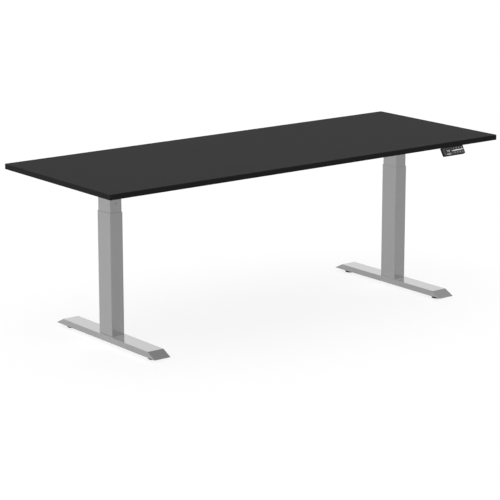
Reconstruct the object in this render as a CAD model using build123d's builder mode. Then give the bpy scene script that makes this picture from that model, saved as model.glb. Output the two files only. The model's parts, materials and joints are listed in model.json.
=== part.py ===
from build123d import *
import math
import os

# Height adjustable standing desk, shown at 700 mm. Millimetres, +Z up. The origin is on the floor under
# the middle of the desktop, +X runs along the desktop to the right, and the user sits on the -Y side.
# Each column is three telescoping tubes. A motor under the desktop turns a hexagonal shaft, the shaft
# turns a hollow screw that the middle tube carries, and that screw climbs a fixed screw while it pushes
# the inner tube's nut up, so the middle tube always moves half as far as the desktop.

# Desktop
TOP_LENGTH = 2000.0
TOP_DEPTH = 750.0
TOP_THICKNESS = 22.0
TOP_CORNER_R = 2.0
BAND_THICKNESS = 2.0
BAND_ROUND = 1.2

# Lift, counted from the height shown
LIFT_UP = 600.0
LIFT_DOWN = 40.0
STOP_GAP = 3.0

# Clearances
FIT = 0.1
RUNNING = 0.3

# No corner takes more than this share of a side
CORNER_SHARE = 0.45

# Feet and levellers
COLUMN_INSET = 250.0
FOOT_LENGTH = 700.0
FOOT_END_RUN = 48.0
FOOT_WIDTH = 78.0
FOOT_HEIGHT = 23.5
FOOT_WALL = 2.5
FOOT_CORNER_R = 3.0
FOOT_EDGE_R = 2.0
FOOT_CLEARANCE = 13.5
LEVELLER_END_INSET = 62.0
PAD_R = 22.0
PAD_HEIGHT = 9.0
PAD_ROUND = 2.0
PAD_CHAMFER = 1.0
PAD_HEX_ACROSS = 13.0
PAD_HEX_HEIGHT = 4.0
STUD_R = 4.0
BOSS_R = 9.0

# Column tubes, from the floor up: outer, middle, inner
OUTER_WIDTH = 60.0
OUTER_DEPTH = 90.0
OUTER_CORNER_R = 3.0
OUTER_LENGTH = 502.0
TUBE_WALL = 1.5
MIN_BEND_R = 0.5
GLIDE_SHEET = 0.7
MID_SHOWING = 56.0
INNER_SHOWING = 25.0
GLIDE_LENGTH = 60.0
NUB_R = 3.0
NUB_BELOW_TOP = 19.0

# Foot of the column
BASE_PLATE = 8.0
BASE_BOLT_INSET = 10.0
BASE_BOLT_R = 4.0
BASE_BOLT_HEAD_R = 6.5
BASE_BOLT_HEAD = 6.0

# Telescoping drive
SHAFT_ACROSS = 8.0
FIXED_SCREW_R = 9.0
FIXED_SCREW_BORE_R = 5.5
HOLLOW_SCREW_R = 13.0
SCREW_FLANGE_R = 17.0
SCREW_FLANGE = 6.0
SCREW_NUT_LENGTH = 25.0
SCREW_END = 20.0
COLLAR_LENGTH = 22.0
CARRIER_FLOOR = 10.0
CARRIER_CAP = 4.0
DRIVE_NUT_LENGTH = 25.0

# Motor, gearbox and the channel that holds them
MOTOR_R = 23.0
MOTOR_LENGTH = 150.0
MOTOR_CAP = 12.0
MOTOR_CAP_STEP = 1.5
MOTOR_CAP_ROUND = 3.0
MOTOR_GAP = 2.0
HEAD_ROOM = 7.5
GEARBOX_LENGTH = 68.0
GEARBOX_WALL = 4.0
GEARBOX_ROUND = 6.0
GEARBOX_EDGE_R = 3.0
OUTPUT_R = 10.0
OUTPUT_LENGTH = 22.0
OUTPUT_SEAT = 6.0
CHANNEL_SHEET = 2.5
CHANNEL_WIDTH = 100.0
CHANNEL_BEND_R = 5.0
CHANNEL_OUTER_GAP = 11.0
CHANNEL_INNER_GAP = 30.0

# Crossbar rails
RAIL_HEIGHT = 40.0
RAIL_WIDTH = 20.0
RAIL_WALL = 2.0
RAIL_BEND_R = 3.5
RAIL_LAP = 120.0
RAIL_SCREW_INSET = 320.0

# Side brackets
BRACKET_INSET = 95.0
BRACKET_WIDTH = 50.0
BRACKET_SHEET = 3.0
BRACKET_BEND_R = 5.0
BRACKET_DEPTH = 45.0
BRACKET_END_DEPTH = 15.0
BRACKET_FLAT = 140.0
BRACKET_CORNER_R = 8.0
BRACKET_SCREW_END = 30.0
BRACKET_SCREW_PITCH = 140.0

# Frame bolts and desktop screws
BOLT_R = 3.0
BOLT_HEAD_R = 5.5
BOLT_HEAD = 3.5
BOLT_EDGE = 30.0
SCREW_R = 2.0
SCREW_HEAD_R = 4.5
SCREW_HEAD = 2.5
SCREW_GRIP = 14.0

# Control box
BOX_LENGTH = 240.0
BOX_WIDTH = 86.0
BOX_HEIGHT = 36.0
BOX_ROUND = 5.0
BOX_LID = 4.0
BOX_LID_CHAMFER = 2.0
BOX_EAR = 22.0
BOX_EAR_SHEET = 3.0
INLET_WIDTH = 28.0
INLET_HEIGHT = 20.0
INLET_ROUND = 5.0
PORT_WIDTH = 11.0
PORT_HEIGHT = 9.0
PORT_PITCH = 15.0
SOCKET_DEPTH = 12.0

# Handset
HANDSET_END_INSET = 256.0
HANDSET_WIDTH = 122.0
HANDSET_SETBACK = 7.0
HANDSET_TILT = 32.0
HANDSET_FACE = 38.0
HANDSET_DEPTH = 10.0
HANDSET_CHIN_R = 6.0
HANDSET_BROW_R = 2.0
HANDSET_RIM_R = 1.2
HANDSET_REACH = 65.0
HANDSET_TAB_SHEET = 4.0
HANDSET_TAB_INSET = 8.0
HANDSET_TAB_R = 5.0
HANDSET_RIB = 3.0
HANDSET_RIB_PITCH = 30.0
HANDSET_RIB_DROP = 18.0
HANDSET_RIB_REACH = 24.0
HANDSET_SCREW_INSET = 10.0
HANDSET_SCREW_EDGE = 12.0
FASCIA_FRAME = 2.5
FASCIA_SHEET = 1.6
FASCIA_LEDGE = 2.0
FASCIA_ROUND = 3.0
BOARD_SHEET = 1.4
DISPLAY_INSET = 9.5
DISPLAY_RISE = 2.5
DISPLAY_WIDTH = 36.0
DISPLAY_HEIGHT = 17.0
DISPLAY_LIP = 1.2
KEY_ROUND = 2.0
KEY_GAP = 3.5
KEY_ROW_GAP = 11.0
KEY_DISPLAY_GAP = 10.0
KEY_END_MARGIN = 3.0
KEY_EDGE_MARGIN = 1.2
KEY_TRAVEL = 0.6
KEY_FLOAT = 0.4
KEY_FLANGE = 0.9
KEY_FLANGE_LIP = 0.7
KEY_PROUD = 0.6

os.makedirs("parts", exist_ok=True)

STAND = (Align.CENTER, Align.CENTER, Align.MIN)
HANG = (Align.CENTER, Align.CENTER, Align.MAX)
SIDES = (("left", -1), ("right", 1))
ENDS = (("front", -1), ("back", 1))


def write(piece, node):
    piece.part.label = node
    export_step(piece.part, f"parts/{node}.step")


def rounded(width, depth, radius):
    return RectangleRounded(width, depth, min(radius, CORNER_SHARE * width, CORNER_SHARE * depth))


def sleeve(plane, width, depth, radius, wall, length):
    """A rectangular tube standing on a plane, sized by its outside."""
    with BuildSketch(plane) as section:
        rounded(width, depth, radius)
        RectangleRounded(
            width - 2 * wall, depth - 2 * wall, max(radius - wall, MIN_BEND_R), mode=Mode.SUBTRACT
        )
    extrude(section.sketch, amount=length)


# Heights, from the floor up
foot_bottom = FOOT_CLEARANCE
foot_top = foot_bottom + FOOT_HEIGHT
base_top = foot_top + BASE_PLATE
outer_top = foot_top + OUTER_LENGTH
mid_top = outer_top + MID_SHOWING
inner_top = mid_top + INNER_SHOWING
channel_floor = inner_top + CHANNEL_SHEET
motor_z = channel_floor + MOTOR_GAP + MOTOR_R
top_bottom = motor_z + MOTOR_R + HEAD_ROOM
half_up = LIFT_UP / 2
half_down = LIFT_DOWN / 2

# Plan positions
column_x = TOP_LENGTH / 2 - COLUMN_INSET
front_y = -TOP_DEPTH / 2
leveller_y = FOOT_LENGTH / 2 - LEVELLER_END_INSET

# Tube sections: each tube is smaller than the one round it by a wall, a glide and a running gap
tube_step = TUBE_WALL + GLIDE_SHEET + RUNNING
mid_width = OUTER_WIDTH - 2 * tube_step
mid_depth = OUTER_DEPTH - 2 * tube_step
mid_corner_r = max(OUTER_CORNER_R - tube_step, TUBE_WALL + MIN_BEND_R)
inner_width = mid_width - 2 * tube_step
inner_depth = mid_depth - 2 * tube_step
inner_corner_r = max(mid_corner_r - tube_step, TUBE_WALL + MIN_BEND_R)
outer_bore_r = max(OUTER_CORNER_R - TUBE_WALL, MIN_BEND_R)

# Drive heights at the height shown
carrier_bottom = base_top + SCREW_FLANGE + STOP_GAP + half_down
pocket_floor = carrier_bottom + CARRIER_FLOOR
pocket_top = pocket_floor + SCREW_FLANGE + RUNNING
carrier_top = pocket_top + CARRIER_CAP
inner_bottom = carrier_top + STOP_GAP + half_down
fixed_screw_top = pocket_floor + SCREW_NUT_LENGTH + half_up + SCREW_END
collar_bottom = fixed_screw_top + half_down + STOP_GAP
hollow_screw_top = collar_bottom + COLLAR_LENGTH
shaft_bottom = base_top + SCREW_END + LIFT_DOWN
output_bottom = channel_floor + OUTPUT_SEAT

# Base bolts
base_bolt_dx = OUTER_WIDTH - 2 * TUBE_WALL - 2 * BASE_BOLT_INSET
base_bolt_dy = OUTER_DEPTH - 2 * TUBE_WALL - 2 * BASE_BOLT_INSET

# Channel, rails and brackets along X, measured from the middle of the desk
channel_in = column_x - GEARBOX_LENGTH / 2 - MOTOR_LENGTH - CHANNEL_INNER_GAP
channel_out = column_x + GEARBOX_LENGTH / 2 + CHANNEL_OUTER_GAP
rail_half = channel_in + RAIL_LAP
rail_y = CHANNEL_WIDTH / 2
rail_bolt_xs = (channel_in + BOLT_EDGE, rail_half - BOLT_EDGE)
rail_bolt_z = top_bottom - RAIL_HEIGHT / 2
bracket_half = TOP_DEPTH / 2 - BRACKET_INSET
bracket_bolt_dy = CHANNEL_WIDTH - 2 * CHANNEL_SHEET - 4 * BOLT_HEAD_R
bracket_bolt_dz = BRACKET_DEPTH - 4 * BOLT_HEAD_R
bracket_bolt_z = top_bottom - BRACKET_DEPTH / 2
bracket_screw_x = channel_out + BRACKET_SHEET + (BRACKET_WIDTH - BRACKET_SHEET) / 2

# Handset face: its middle, and the directions along it
tilt = math.radians(HANDSET_TILT)
handset_x = TOP_LENGTH / 2 - HANDSET_END_INSET
face_top_y = front_y + HANDSET_SETBACK
face_mid_y = face_top_y - HANDSET_FACE / 2 * math.sin(tilt)
face_mid_z = top_bottom - HANDSET_FACE / 2 * math.cos(tilt)
face = Plane(
    origin=(handset_x, face_mid_y, face_mid_z),
    x_dir=(1, 0, 0),
    z_dir=(0, -math.cos(tilt), math.sin(tilt)),
)
fascia_width = HANDSET_WIDTH - 2 * FASCIA_FRAME
fascia_height = HANDSET_FACE - 2 * FASCIA_FRAME
cavity_width = fascia_width - 2 * FASCIA_LEDGE
cavity_height = fascia_height - 2 * FASCIA_LEDGE
handset_cavity = FASCIA_SHEET + FIT + KEY_FLANGE + KEY_TRAVEL + KEY_FLOAT + BOARD_SHEET
display_depth = handset_cavity - FASCIA_SHEET - BOARD_SHEET - RUNNING
display_u = -fascia_width / 2 + DISPLAY_INSET + DISPLAY_WIDTH / 2

# Keys: two rows of four, filling the fascia beside the display
key_names = (
    ("key_one", "key_two", "key_three", "key_four"),
    ("key_up", "key_down", "key_memory", "key_reminder"),
)
keys_left = display_u + DISPLAY_WIDTH / 2 + KEY_DISPLAY_GAP
keys_right = fascia_width / 2 - KEY_END_MARGIN
key_width = (keys_right - keys_left + KEY_GAP) / len(key_names[0]) - KEY_GAP
key_height = (cavity_height - 2 * KEY_EDGE_MARGIN + KEY_ROW_GAP) / len(key_names) - KEY_ROW_GAP
key_top = cavity_height / 2 - KEY_EDGE_MARGIN - key_height / 2
keys = {
    name: (
        keys_left + key_width / 2 + column * (key_width + KEY_GAP),
        key_top - row * (key_height + KEY_ROW_GAP),
    )
    for row, names in enumerate(key_names)
    for column, name in enumerate(names)
}

# Every screw into the desktop's underside: x, y and the thickness of what it holds
bracket_screw_ys = (
    bracket_half - BRACKET_SCREW_END,
    bracket_half - BRACKET_SCREW_END - BRACKET_SCREW_PITCH,
)
bracket_screws = {
    side: [(sign * bracket_screw_x, end * y) for end in (-1, 1) for y in bracket_screw_ys]
    for side, sign in SIDES
}
rail_screw_x = max(rail_half - RAIL_SCREW_INSET, BOX_LENGTH / 2)
rail_screws = {
    end: [(sign * rail_screw_x, way * (rail_y + RAIL_WIDTH / 2)) for _, sign in SIDES]
    for end, way in ENDS
}
box_screws = [
    (sign * (BOX_LENGTH / 2 + BOX_EAR / 2), way * BOX_WIDTH / 4) for _, sign in SIDES for _, way in ENDS
]
tab_width = HANDSET_WIDTH - 2 * HANDSET_TAB_INSET
tab_back_y = front_y + HANDSET_REACH
handset_screw_dx = tab_width / 2 - HANDSET_SCREW_INSET
handset_screw_y = tab_back_y - HANDSET_SCREW_EDGE
handset_screws = [(handset_x + sign * handset_screw_dx, handset_screw_y) for _, sign in SIDES]
screw_seats = [(x, y, BRACKET_SHEET) for side in bracket_screws for x, y in bracket_screws[side]]
screw_seats += [(x, y, RAIL_WALL) for end in rail_screws for x, y in rail_screws[end]]
screw_seats += [(x, y, BOX_EAR_SHEET) for x, y in box_screws]
screw_seats += [(x, y, HANDSET_TAB_SHEET) for x, y in handset_screws]


# Desktop board, with a pilot hole for each screw
with BuildPart() as desktop:
    with BuildSketch(Plane.XY.offset(top_bottom)):
        rounded(TOP_LENGTH - 2 * BAND_THICKNESS, TOP_DEPTH - 2 * BAND_THICKNESS, TOP_CORNER_R)
    extrude(amount=TOP_THICKNESS)
    with BuildSketch(Plane.XY.offset(top_bottom)):
        with Locations(*[(x, y) for x, y, _ in screw_seats]):
            Circle(SCREW_R + FIT)
    extrude(amount=SCREW_GRIP + FIT, mode=Mode.SUBTRACT)
write(desktop, "desktop")

# Edge band glued round the board, with eased arrises
with BuildPart() as edge_band:
    with BuildSketch(Plane.XY.offset(top_bottom)):
        rounded(TOP_LENGTH, TOP_DEPTH, TOP_CORNER_R + BAND_THICKNESS)
    extrude(amount=TOP_THICKNESS)
    fillet(edge_band.faces().filter_by(Axis.Z).edges(), BAND_ROUND)
    with BuildSketch(Plane.XY.offset(top_bottom)):
        rounded(TOP_LENGTH - 2 * BAND_THICKNESS, TOP_DEPTH - 2 * BAND_THICKNESS, TOP_CORNER_R)
    extrude(amount=TOP_THICKNESS, mode=Mode.SUBTRACT)
write(edge_band, "edge_band")

for side, sign in SIDES:
    x = sign * column_x

    # Foot: a folded steel channel, open below, with sloping ends and two threaded leveller bosses
    end_offset = FOOT_WALL * math.hypot(FOOT_END_RUN, FOOT_HEIGHT) / FOOT_HEIGHT
    cavity_height_z = FOOT_HEIGHT - FOOT_WALL
    cavity_low = FOOT_LENGTH / 2 - end_offset
    cavity_high = cavity_low - cavity_height_z * FOOT_END_RUN / FOOT_HEIGHT
    with BuildPart() as foot:
        with BuildSketch(Plane.YZ.offset(x - FOOT_WIDTH / 2)):
            with BuildLine():
                Polyline(
                    (-FOOT_LENGTH / 2, foot_bottom),
                    (FOOT_LENGTH / 2, foot_bottom),
                    (FOOT_LENGTH / 2 - FOOT_END_RUN, foot_top),
                    (FOOT_END_RUN - FOOT_LENGTH / 2, foot_top),
                    close=True,
                )
            make_face()
        extrude(amount=FOOT_WIDTH)
        ends = foot.edges().filter_by(lambda e: abs(e.tangent_at(0).Z) > 0.1)
        fillet(ends, FOOT_CORNER_R)
        fillet(foot.faces().sort_by(Axis.Z)[-1].edges(), FOOT_EDGE_R)
        with BuildSketch(Plane.YZ.offset(x - FOOT_WIDTH / 2 + FOOT_WALL)):
            with BuildLine():
                Polyline(
                    (-cavity_low, foot_bottom),
                    (cavity_low, foot_bottom),
                    (cavity_high, foot_top - FOOT_WALL),
                    (-cavity_high, foot_top - FOOT_WALL),
                    close=True,
                )
            make_face()
        extrude(amount=FOOT_WIDTH - 2 * FOOT_WALL, mode=Mode.SUBTRACT)
        boss_bottom = PAD_HEIGHT + PAD_HEX_HEIGHT + STOP_GAP
        boss_length = foot_top - FOOT_WALL - boss_bottom
        with BuildSketch(Plane(origin=(x, 0, boss_bottom))):
            with Locations((0, -leveller_y), (0, leveller_y)):
                Circle(BOSS_R)
        extrude(amount=boss_length)
        with BuildSketch(Plane(origin=(x, 0, boss_bottom))):
            with Locations((0, -leveller_y), (0, leveller_y)):
                Circle(STUD_R + RUNNING)
        extrude(amount=boss_length, mode=Mode.SUBTRACT)
        with BuildSketch(Plane(origin=(x, 0, foot_top))):
            with GridLocations(base_bolt_dx, base_bolt_dy, 2, 2):
                Circle(BASE_BOLT_R + RUNNING)
        extrude(amount=-FOOT_WALL, mode=Mode.SUBTRACT)
    write(foot, f"{side}_foot")

    # Levellers: a pad with a hexagon for a spanner and a stud that screws into the foot's boss
    for end, way in ENDS:
        with BuildPart() as leveller:
            with Locations((x, way * leveller_y, 0)):
                Cylinder(PAD_R, PAD_HEIGHT, align=STAND)
            fillet(leveller.edges().sort_by(Axis.Z)[-1], PAD_ROUND)
            chamfer(leveller.edges().sort_by(Axis.Z)[0], PAD_CHAMFER)
            with BuildSketch(Plane(origin=(x, way * leveller_y, PAD_HEIGHT))):
                RegularPolygon(PAD_HEX_ACROSS / 2, 6, major_radius=False)
            extrude(amount=PAD_HEX_HEIGHT)
            with Locations((x, way * leveller_y, PAD_HEIGHT)):
                Cylinder(STUD_R, foot_top - FOOT_WALL - FIT - PAD_HEIGHT, align=STAND)
        write(leveller, f"{side}_{end}_leveller")

    # Base plate welded into the outer tube, and the four bolts that hold it down on the foot
    with BuildPart() as base_plate:
        with BuildSketch(Plane(origin=(x, 0, foot_top))):
            rounded(
                OUTER_WIDTH - 2 * TUBE_WALL - 2 * FIT,
                OUTER_DEPTH - 2 * TUBE_WALL - 2 * FIT,
                outer_bore_r,
            )
            with GridLocations(base_bolt_dx, base_bolt_dy, 2, 2):
                Circle(BASE_BOLT_R + FIT, mode=Mode.SUBTRACT)
        extrude(amount=BASE_PLATE)
    write(base_plate, f"{side}_base_plate")

    with BuildPart() as base_bolts:
        seat_z = foot_top - FOOT_WALL
        with BuildSketch(Plane(origin=(x, 0, seat_z))):
            with GridLocations(base_bolt_dx, base_bolt_dy, 2, 2):
                Circle(BASE_BOLT_R)
        extrude(amount=FOOT_WALL + BASE_PLATE)
        with BuildSketch(Plane(origin=(x, 0, seat_z))):
            with GridLocations(base_bolt_dx, base_bolt_dy, 2, 2):
                Circle(BASE_BOLT_HEAD_R)
        extrude(amount=-BASE_BOLT_HEAD)
    write(base_bolts, f"{side}_base_bolts")

    # Outer tube, with a glide lining in its mouth
    with BuildPart() as outer_tube:
        sleeve(
            Plane(origin=(x, 0, foot_top)),
            OUTER_WIDTH,
            OUTER_DEPTH,
            OUTER_CORNER_R,
            TUBE_WALL,
            OUTER_LENGTH,
        )
    write(outer_tube, f"{side}_outer_tube")

    with BuildPart() as outer_glide:
        sleeve(
            Plane(origin=(x, 0, outer_top - GLIDE_LENGTH)),
            OUTER_WIDTH - 2 * TUBE_WALL,
            OUTER_DEPTH - 2 * TUBE_WALL,
            outer_bore_r,
            GLIDE_SHEET,
            GLIDE_LENGTH,
        )
    write(outer_glide, f"{side}_outer_glide")

    # Fixed screw: hollow, flanged and bolted upright on the base plate
    with BuildPart() as fixed_screw:
        with Locations((x, 0, base_top)):
            Cylinder(SCREW_FLANGE_R, SCREW_FLANGE, align=STAND)
            Cylinder(FIXED_SCREW_R, fixed_screw_top - base_top, align=STAND)
            Cylinder(FIXED_SCREW_BORE_R, fixed_screw_top - base_top, align=STAND, mode=Mode.SUBTRACT)
    write(fixed_screw, f"{side}_fixed_screw")

    # Middle tube, with a hole that its upper glide snaps into. Both columns are alike and the right one
    # is turned end for end, so the hole is in front on the left and behind on the right
    nub_z = mid_top - NUB_BELOW_TOP
    nub_plane = Plane(origin=(x, 0, nub_z), x_dir=(1, 0, 0), z_dir=(0, sign, 0))
    with BuildPart() as mid_tube:
        sleeve(
            Plane(origin=(x, 0, carrier_bottom)),
            mid_width,
            mid_depth,
            mid_corner_r,
            TUBE_WALL,
            mid_top - carrier_bottom,
        )
        with BuildSketch(nub_plane):
            Circle(NUB_R)
        extrude(amount=mid_depth, mode=Mode.SUBTRACT)
    write(mid_tube, f"{side}_mid_tube")

    # Middle tube's glides: a lining in its mouth, with its snap nub, and a shoe round its lower end
    with BuildPart() as mid_glides:
        sleeve(
            Plane(origin=(x, 0, mid_top - GLIDE_LENGTH)),
            mid_width - 2 * TUBE_WALL,
            mid_depth - 2 * TUBE_WALL,
            mid_corner_r - TUBE_WALL,
            GLIDE_SHEET,
            GLIDE_LENGTH,
        )
        with BuildSketch(nub_plane.offset(mid_depth / 2 - TUBE_WALL)):
            Circle(NUB_R - FIT)
        extrude(amount=TUBE_WALL - FIT)
        sleeve(
            Plane(origin=(x, 0, carrier_bottom)),
            mid_width + 2 * GLIDE_SHEET,
            mid_depth + 2 * GLIDE_SHEET,
            mid_corner_r + GLIDE_SHEET,
            GLIDE_SHEET,
            GLIDE_LENGTH,
        )
    write(mid_glides, f"{side}_mid_glides")

    # Bearing carrier in the middle tube's lower end: a block with a pocket for the screw's flange,
    # and the cap that keeps the flange down
    with BuildPart() as mid_carrier:
        carrier_width = mid_width - 2 * TUBE_WALL - 2 * FIT
        carrier_depth = mid_depth - 2 * TUBE_WALL - 2 * FIT
        with BuildSketch(Plane(origin=(x, 0, carrier_bottom))):
            rounded(carrier_width, carrier_depth, mid_corner_r - TUBE_WALL)
        extrude(amount=pocket_top - carrier_bottom)
        with Locations((x, 0, pocket_floor)):
            Cylinder(SCREW_FLANGE_R + RUNNING, pocket_top - pocket_floor, align=STAND, mode=Mode.SUBTRACT)
        with Locations((x, 0, carrier_bottom)):
            Cylinder(FIXED_SCREW_R + 2 * RUNNING, CARRIER_FLOOR, align=STAND, mode=Mode.SUBTRACT)
        with BuildSketch(Plane(origin=(x, 0, pocket_top))):
            rounded(carrier_width, carrier_depth, mid_corner_r - TUBE_WALL)
            Circle(HOLLOW_SCREW_R + RUNNING, mode=Mode.SUBTRACT)
        extrude(amount=CARRIER_CAP)
    write(mid_carrier, f"{side}_mid_carrier")

    # Hollow screw: turns on the carrier, its lower end is the nut on the fixed screw, and the
    # hexagonal collar at its top lets the drive shaft slide through
    with BuildPart() as hollow_screw:
        with Locations((x, 0, pocket_floor)):
            Cylinder(SCREW_FLANGE_R, SCREW_FLANGE, align=STAND)
            Cylinder(HOLLOW_SCREW_R, hollow_screw_top - pocket_floor, align=STAND)
            Cylinder(FIXED_SCREW_R + RUNNING, SCREW_NUT_LENGTH, align=STAND, mode=Mode.SUBTRACT)
        with Locations((x, 0, pocket_floor + SCREW_NUT_LENGTH)):
            Cylinder(
                FIXED_SCREW_R + 2 * RUNNING,
                collar_bottom - pocket_floor - SCREW_NUT_LENGTH,
                align=STAND,
                mode=Mode.SUBTRACT,
            )
        with BuildSketch(Plane(origin=(x, 0, collar_bottom))):
            RegularPolygon(SHAFT_ACROSS / 2 + RUNNING, 6, major_radius=False)
        extrude(amount=COLLAR_LENGTH, mode=Mode.SUBTRACT)
    write(hollow_screw, f"{side}_hollow_screw")

    # Inner tube, the shoe round its lower end, and the drive nut in that end
    with BuildPart() as inner_tube:
        sleeve(
            Plane(origin=(x, 0, inner_bottom)),
            inner_width,
            inner_depth,
            inner_corner_r,
            TUBE_WALL,
            inner_top - inner_bottom,
        )
    write(inner_tube, f"{side}_inner_tube")

    with BuildPart() as inner_glide:
        sleeve(
            Plane(origin=(x, 0, inner_bottom)),
            inner_width + 2 * GLIDE_SHEET,
            inner_depth + 2 * GLIDE_SHEET,
            inner_corner_r + GLIDE_SHEET,
            GLIDE_SHEET,
            GLIDE_LENGTH,
        )
    write(inner_glide, f"{side}_inner_glide")

    with BuildPart() as drive_nut:
        with BuildSketch(Plane(origin=(x, 0, inner_bottom))):
            rounded(
                inner_width - 2 * TUBE_WALL - 2 * FIT,
                inner_depth - 2 * TUBE_WALL - 2 * FIT,
                inner_corner_r - TUBE_WALL,
            )
            Circle(HOLLOW_SCREW_R + RUNNING, mode=Mode.SUBTRACT)
        extrude(amount=DRIVE_NUT_LENGTH)
    write(drive_nut, f"{side}_drive_nut")

    # Drive shaft: a hexagonal bar that hangs from the gearbox by its round head
    with BuildPart() as drive_shaft:
        with BuildSketch(Plane(origin=(x, 0, shaft_bottom))):
            RegularPolygon(SHAFT_ACROSS / 2, 6, major_radius=False)
        extrude(amount=output_bottom - shaft_bottom)
        with Locations((x, 0, output_bottom)):
            Cylinder(OUTPUT_R, OUTPUT_LENGTH, align=STAND)
    write(drive_shaft, f"{side}_drive_shaft")

    # Gearbox over the column, with a pocket for the shaft's head and a round seat for the motor
    gearbox_height = 2 * MOTOR_R + 2 * MOTOR_GAP
    gearbox_width = CHANNEL_WIDTH - 2 * CHANNEL_SHEET - 2 * CHANNEL_BEND_R
    inward = -sign
    gear_face = x + inward * GEARBOX_LENGTH / 2
    motor_plane = Plane(origin=(gear_face, 0, motor_z), x_dir=(0, 1, 0), z_dir=(inward, 0, 0))
    with BuildPart() as gearbox:
        with BuildSketch(Plane(origin=(x, 0, channel_floor))):
            rounded(GEARBOX_LENGTH, gearbox_width, GEARBOX_ROUND)
        extrude(amount=gearbox_height)
        fillet(gearbox.faces().sort_by(Axis.Z)[-1].edges(), GEARBOX_EDGE_R)
        with BuildSketch(Plane(origin=(x, 0, channel_floor))):
            Circle(SHAFT_ACROSS / math.sqrt(3) + 2 * RUNNING)
        extrude(amount=OUTPUT_SEAT, mode=Mode.SUBTRACT)
        with BuildSketch(Plane(origin=(x, 0, output_bottom))):
            Circle(OUTPUT_R + RUNNING)
        extrude(amount=OUTPUT_LENGTH + RUNNING, mode=Mode.SUBTRACT)
        with BuildSketch(motor_plane):
            Circle(MOTOR_R - GEARBOX_WALL)
        extrude(amount=-GEARBOX_WALL, mode=Mode.SUBTRACT)
    write(gearbox, f"{side}_gearbox")

    # Motor: spigot in the gearbox's seat, round can, stepped end cap
    with BuildPart() as motor:
        with BuildSketch(motor_plane):
            Circle(MOTOR_R - GEARBOX_WALL - FIT)
        extrude(amount=-GEARBOX_WALL)
        with BuildSketch(motor_plane):
            Circle(MOTOR_R)
        extrude(amount=MOTOR_LENGTH - MOTOR_CAP)
        with BuildSketch(motor_plane.offset(MOTOR_LENGTH - MOTOR_CAP)):
            Circle(MOTOR_R - MOTOR_CAP_STEP)
        extrude(amount=MOTOR_CAP)
        rim = motor.faces().sort_by(Axis.X)[0 if inward < 0 else -1].edges()
        fillet(rim, MOTOR_CAP_ROUND)
    write(motor, f"{side}_motor")

    # Motor channel: folded steel, open above, closed at its outer end, welded to the inner tube
    channel_start = min(sign * channel_in, sign * channel_out)
    with BuildPart() as channel:
        with BuildSketch(Plane.YZ.offset(channel_start)):
            with Locations((0, (inner_top + top_bottom) / 2)):
                Rectangle(CHANNEL_WIDTH, top_bottom - inner_top)
            fillet(vertices().group_by(Axis.Y)[0], CHANNEL_BEND_R)
            inner_wide = CHANNEL_WIDTH - 2 * CHANNEL_SHEET
            with Locations((0, top_bottom)):
                RectangleRounded(
                    inner_wide,
                    2 * (top_bottom - channel_floor),
                    CHANNEL_BEND_R - CHANNEL_SHEET,
                    mode=Mode.SUBTRACT,
                )
        extrude(amount=channel_out - channel_in)
        with BuildSketch(Plane.YZ.offset(sign * channel_out)):
            with Locations((0, (channel_floor + top_bottom) / 2)):
                Rectangle(inner_wide, top_bottom - channel_floor)
        extrude(amount=inward * CHANNEL_SHEET)
        with BuildSketch(Plane(origin=(x, 0, inner_top))):
            Circle(SHAFT_ACROSS / math.sqrt(3) + 2 * RUNNING)
        extrude(amount=CHANNEL_SHEET, mode=Mode.SUBTRACT)
        with BuildSketch(Plane.XZ):
            with Locations(*[(sign * bolt_x, rail_bolt_z) for bolt_x in rail_bolt_xs]):
                Circle(BOLT_R + RUNNING)
        extrude(amount=CHANNEL_WIDTH, both=True, mode=Mode.SUBTRACT)
        with BuildSketch(Plane.YZ.offset(sign * channel_out)):
            with Locations((0, bracket_bolt_z)):
                with GridLocations(bracket_bolt_dy, bracket_bolt_dz, 2, 2):
                    Circle(BOLT_R + RUNNING)
        extrude(amount=inward * CHANNEL_SHEET, mode=Mode.SUBTRACT)
    write(channel, f"{side}_motor_channel")

    # Side bracket: an angle of folded steel whose web tapers towards the front and back
    web_x = sign * channel_out
    flange_mid = sign * (channel_out + BRACKET_WIDTH / 2)
    with BuildPart() as bracket:
        with BuildSketch(Plane.YZ.offset(web_x)):
            with BuildLine():
                Polyline(
                    (-bracket_half, top_bottom),
                    (bracket_half, top_bottom),
                    (bracket_half, top_bottom - BRACKET_END_DEPTH),
                    (BRACKET_FLAT / 2, top_bottom - BRACKET_DEPTH),
                    (-BRACKET_FLAT / 2, top_bottom - BRACKET_DEPTH),
                    (-bracket_half, top_bottom - BRACKET_END_DEPTH),
                    close=True,
                )
            make_face()
        extrude(amount=sign * BRACKET_SHEET)
        with BuildSketch(Plane(origin=(flange_mid, 0, top_bottom))):
            Rectangle(BRACKET_WIDTH, 2 * bracket_half)
        extrude(amount=-BRACKET_SHEET)
        folds = bracket.edges().filter_by(Axis.Y).group_by(Axis.Z)
        fillet(folds[-1].sort_by(Axis.X)[-1 if sign < 0 else 0], BRACKET_BEND_R)
        fillet(folds[-2].sort_by(Axis.X)[-1 if sign < 0 else 0], BRACKET_BEND_R - BRACKET_SHEET)
        far_corners = bracket.edges().filter_by(Axis.Z).group_by(Axis.X)[0 if sign < 0 else -1]
        fillet(far_corners, BRACKET_CORNER_R)
        with BuildSketch(Plane.XY.offset(top_bottom)):
            with Locations(*bracket_screws[side]):
                Circle(SCREW_R + RUNNING)
        extrude(amount=-BRACKET_SHEET, mode=Mode.SUBTRACT)
        with BuildSketch(Plane.YZ.offset(web_x)):
            with Locations((0, bracket_bolt_z)):
                with GridLocations(bracket_bolt_dy, bracket_bolt_dz, 2, 2):
                    Circle(BOLT_R + RUNNING)
        extrude(amount=sign * BRACKET_SHEET, mode=Mode.SUBTRACT)
    write(bracket, f"{side}_side_bracket")

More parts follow.
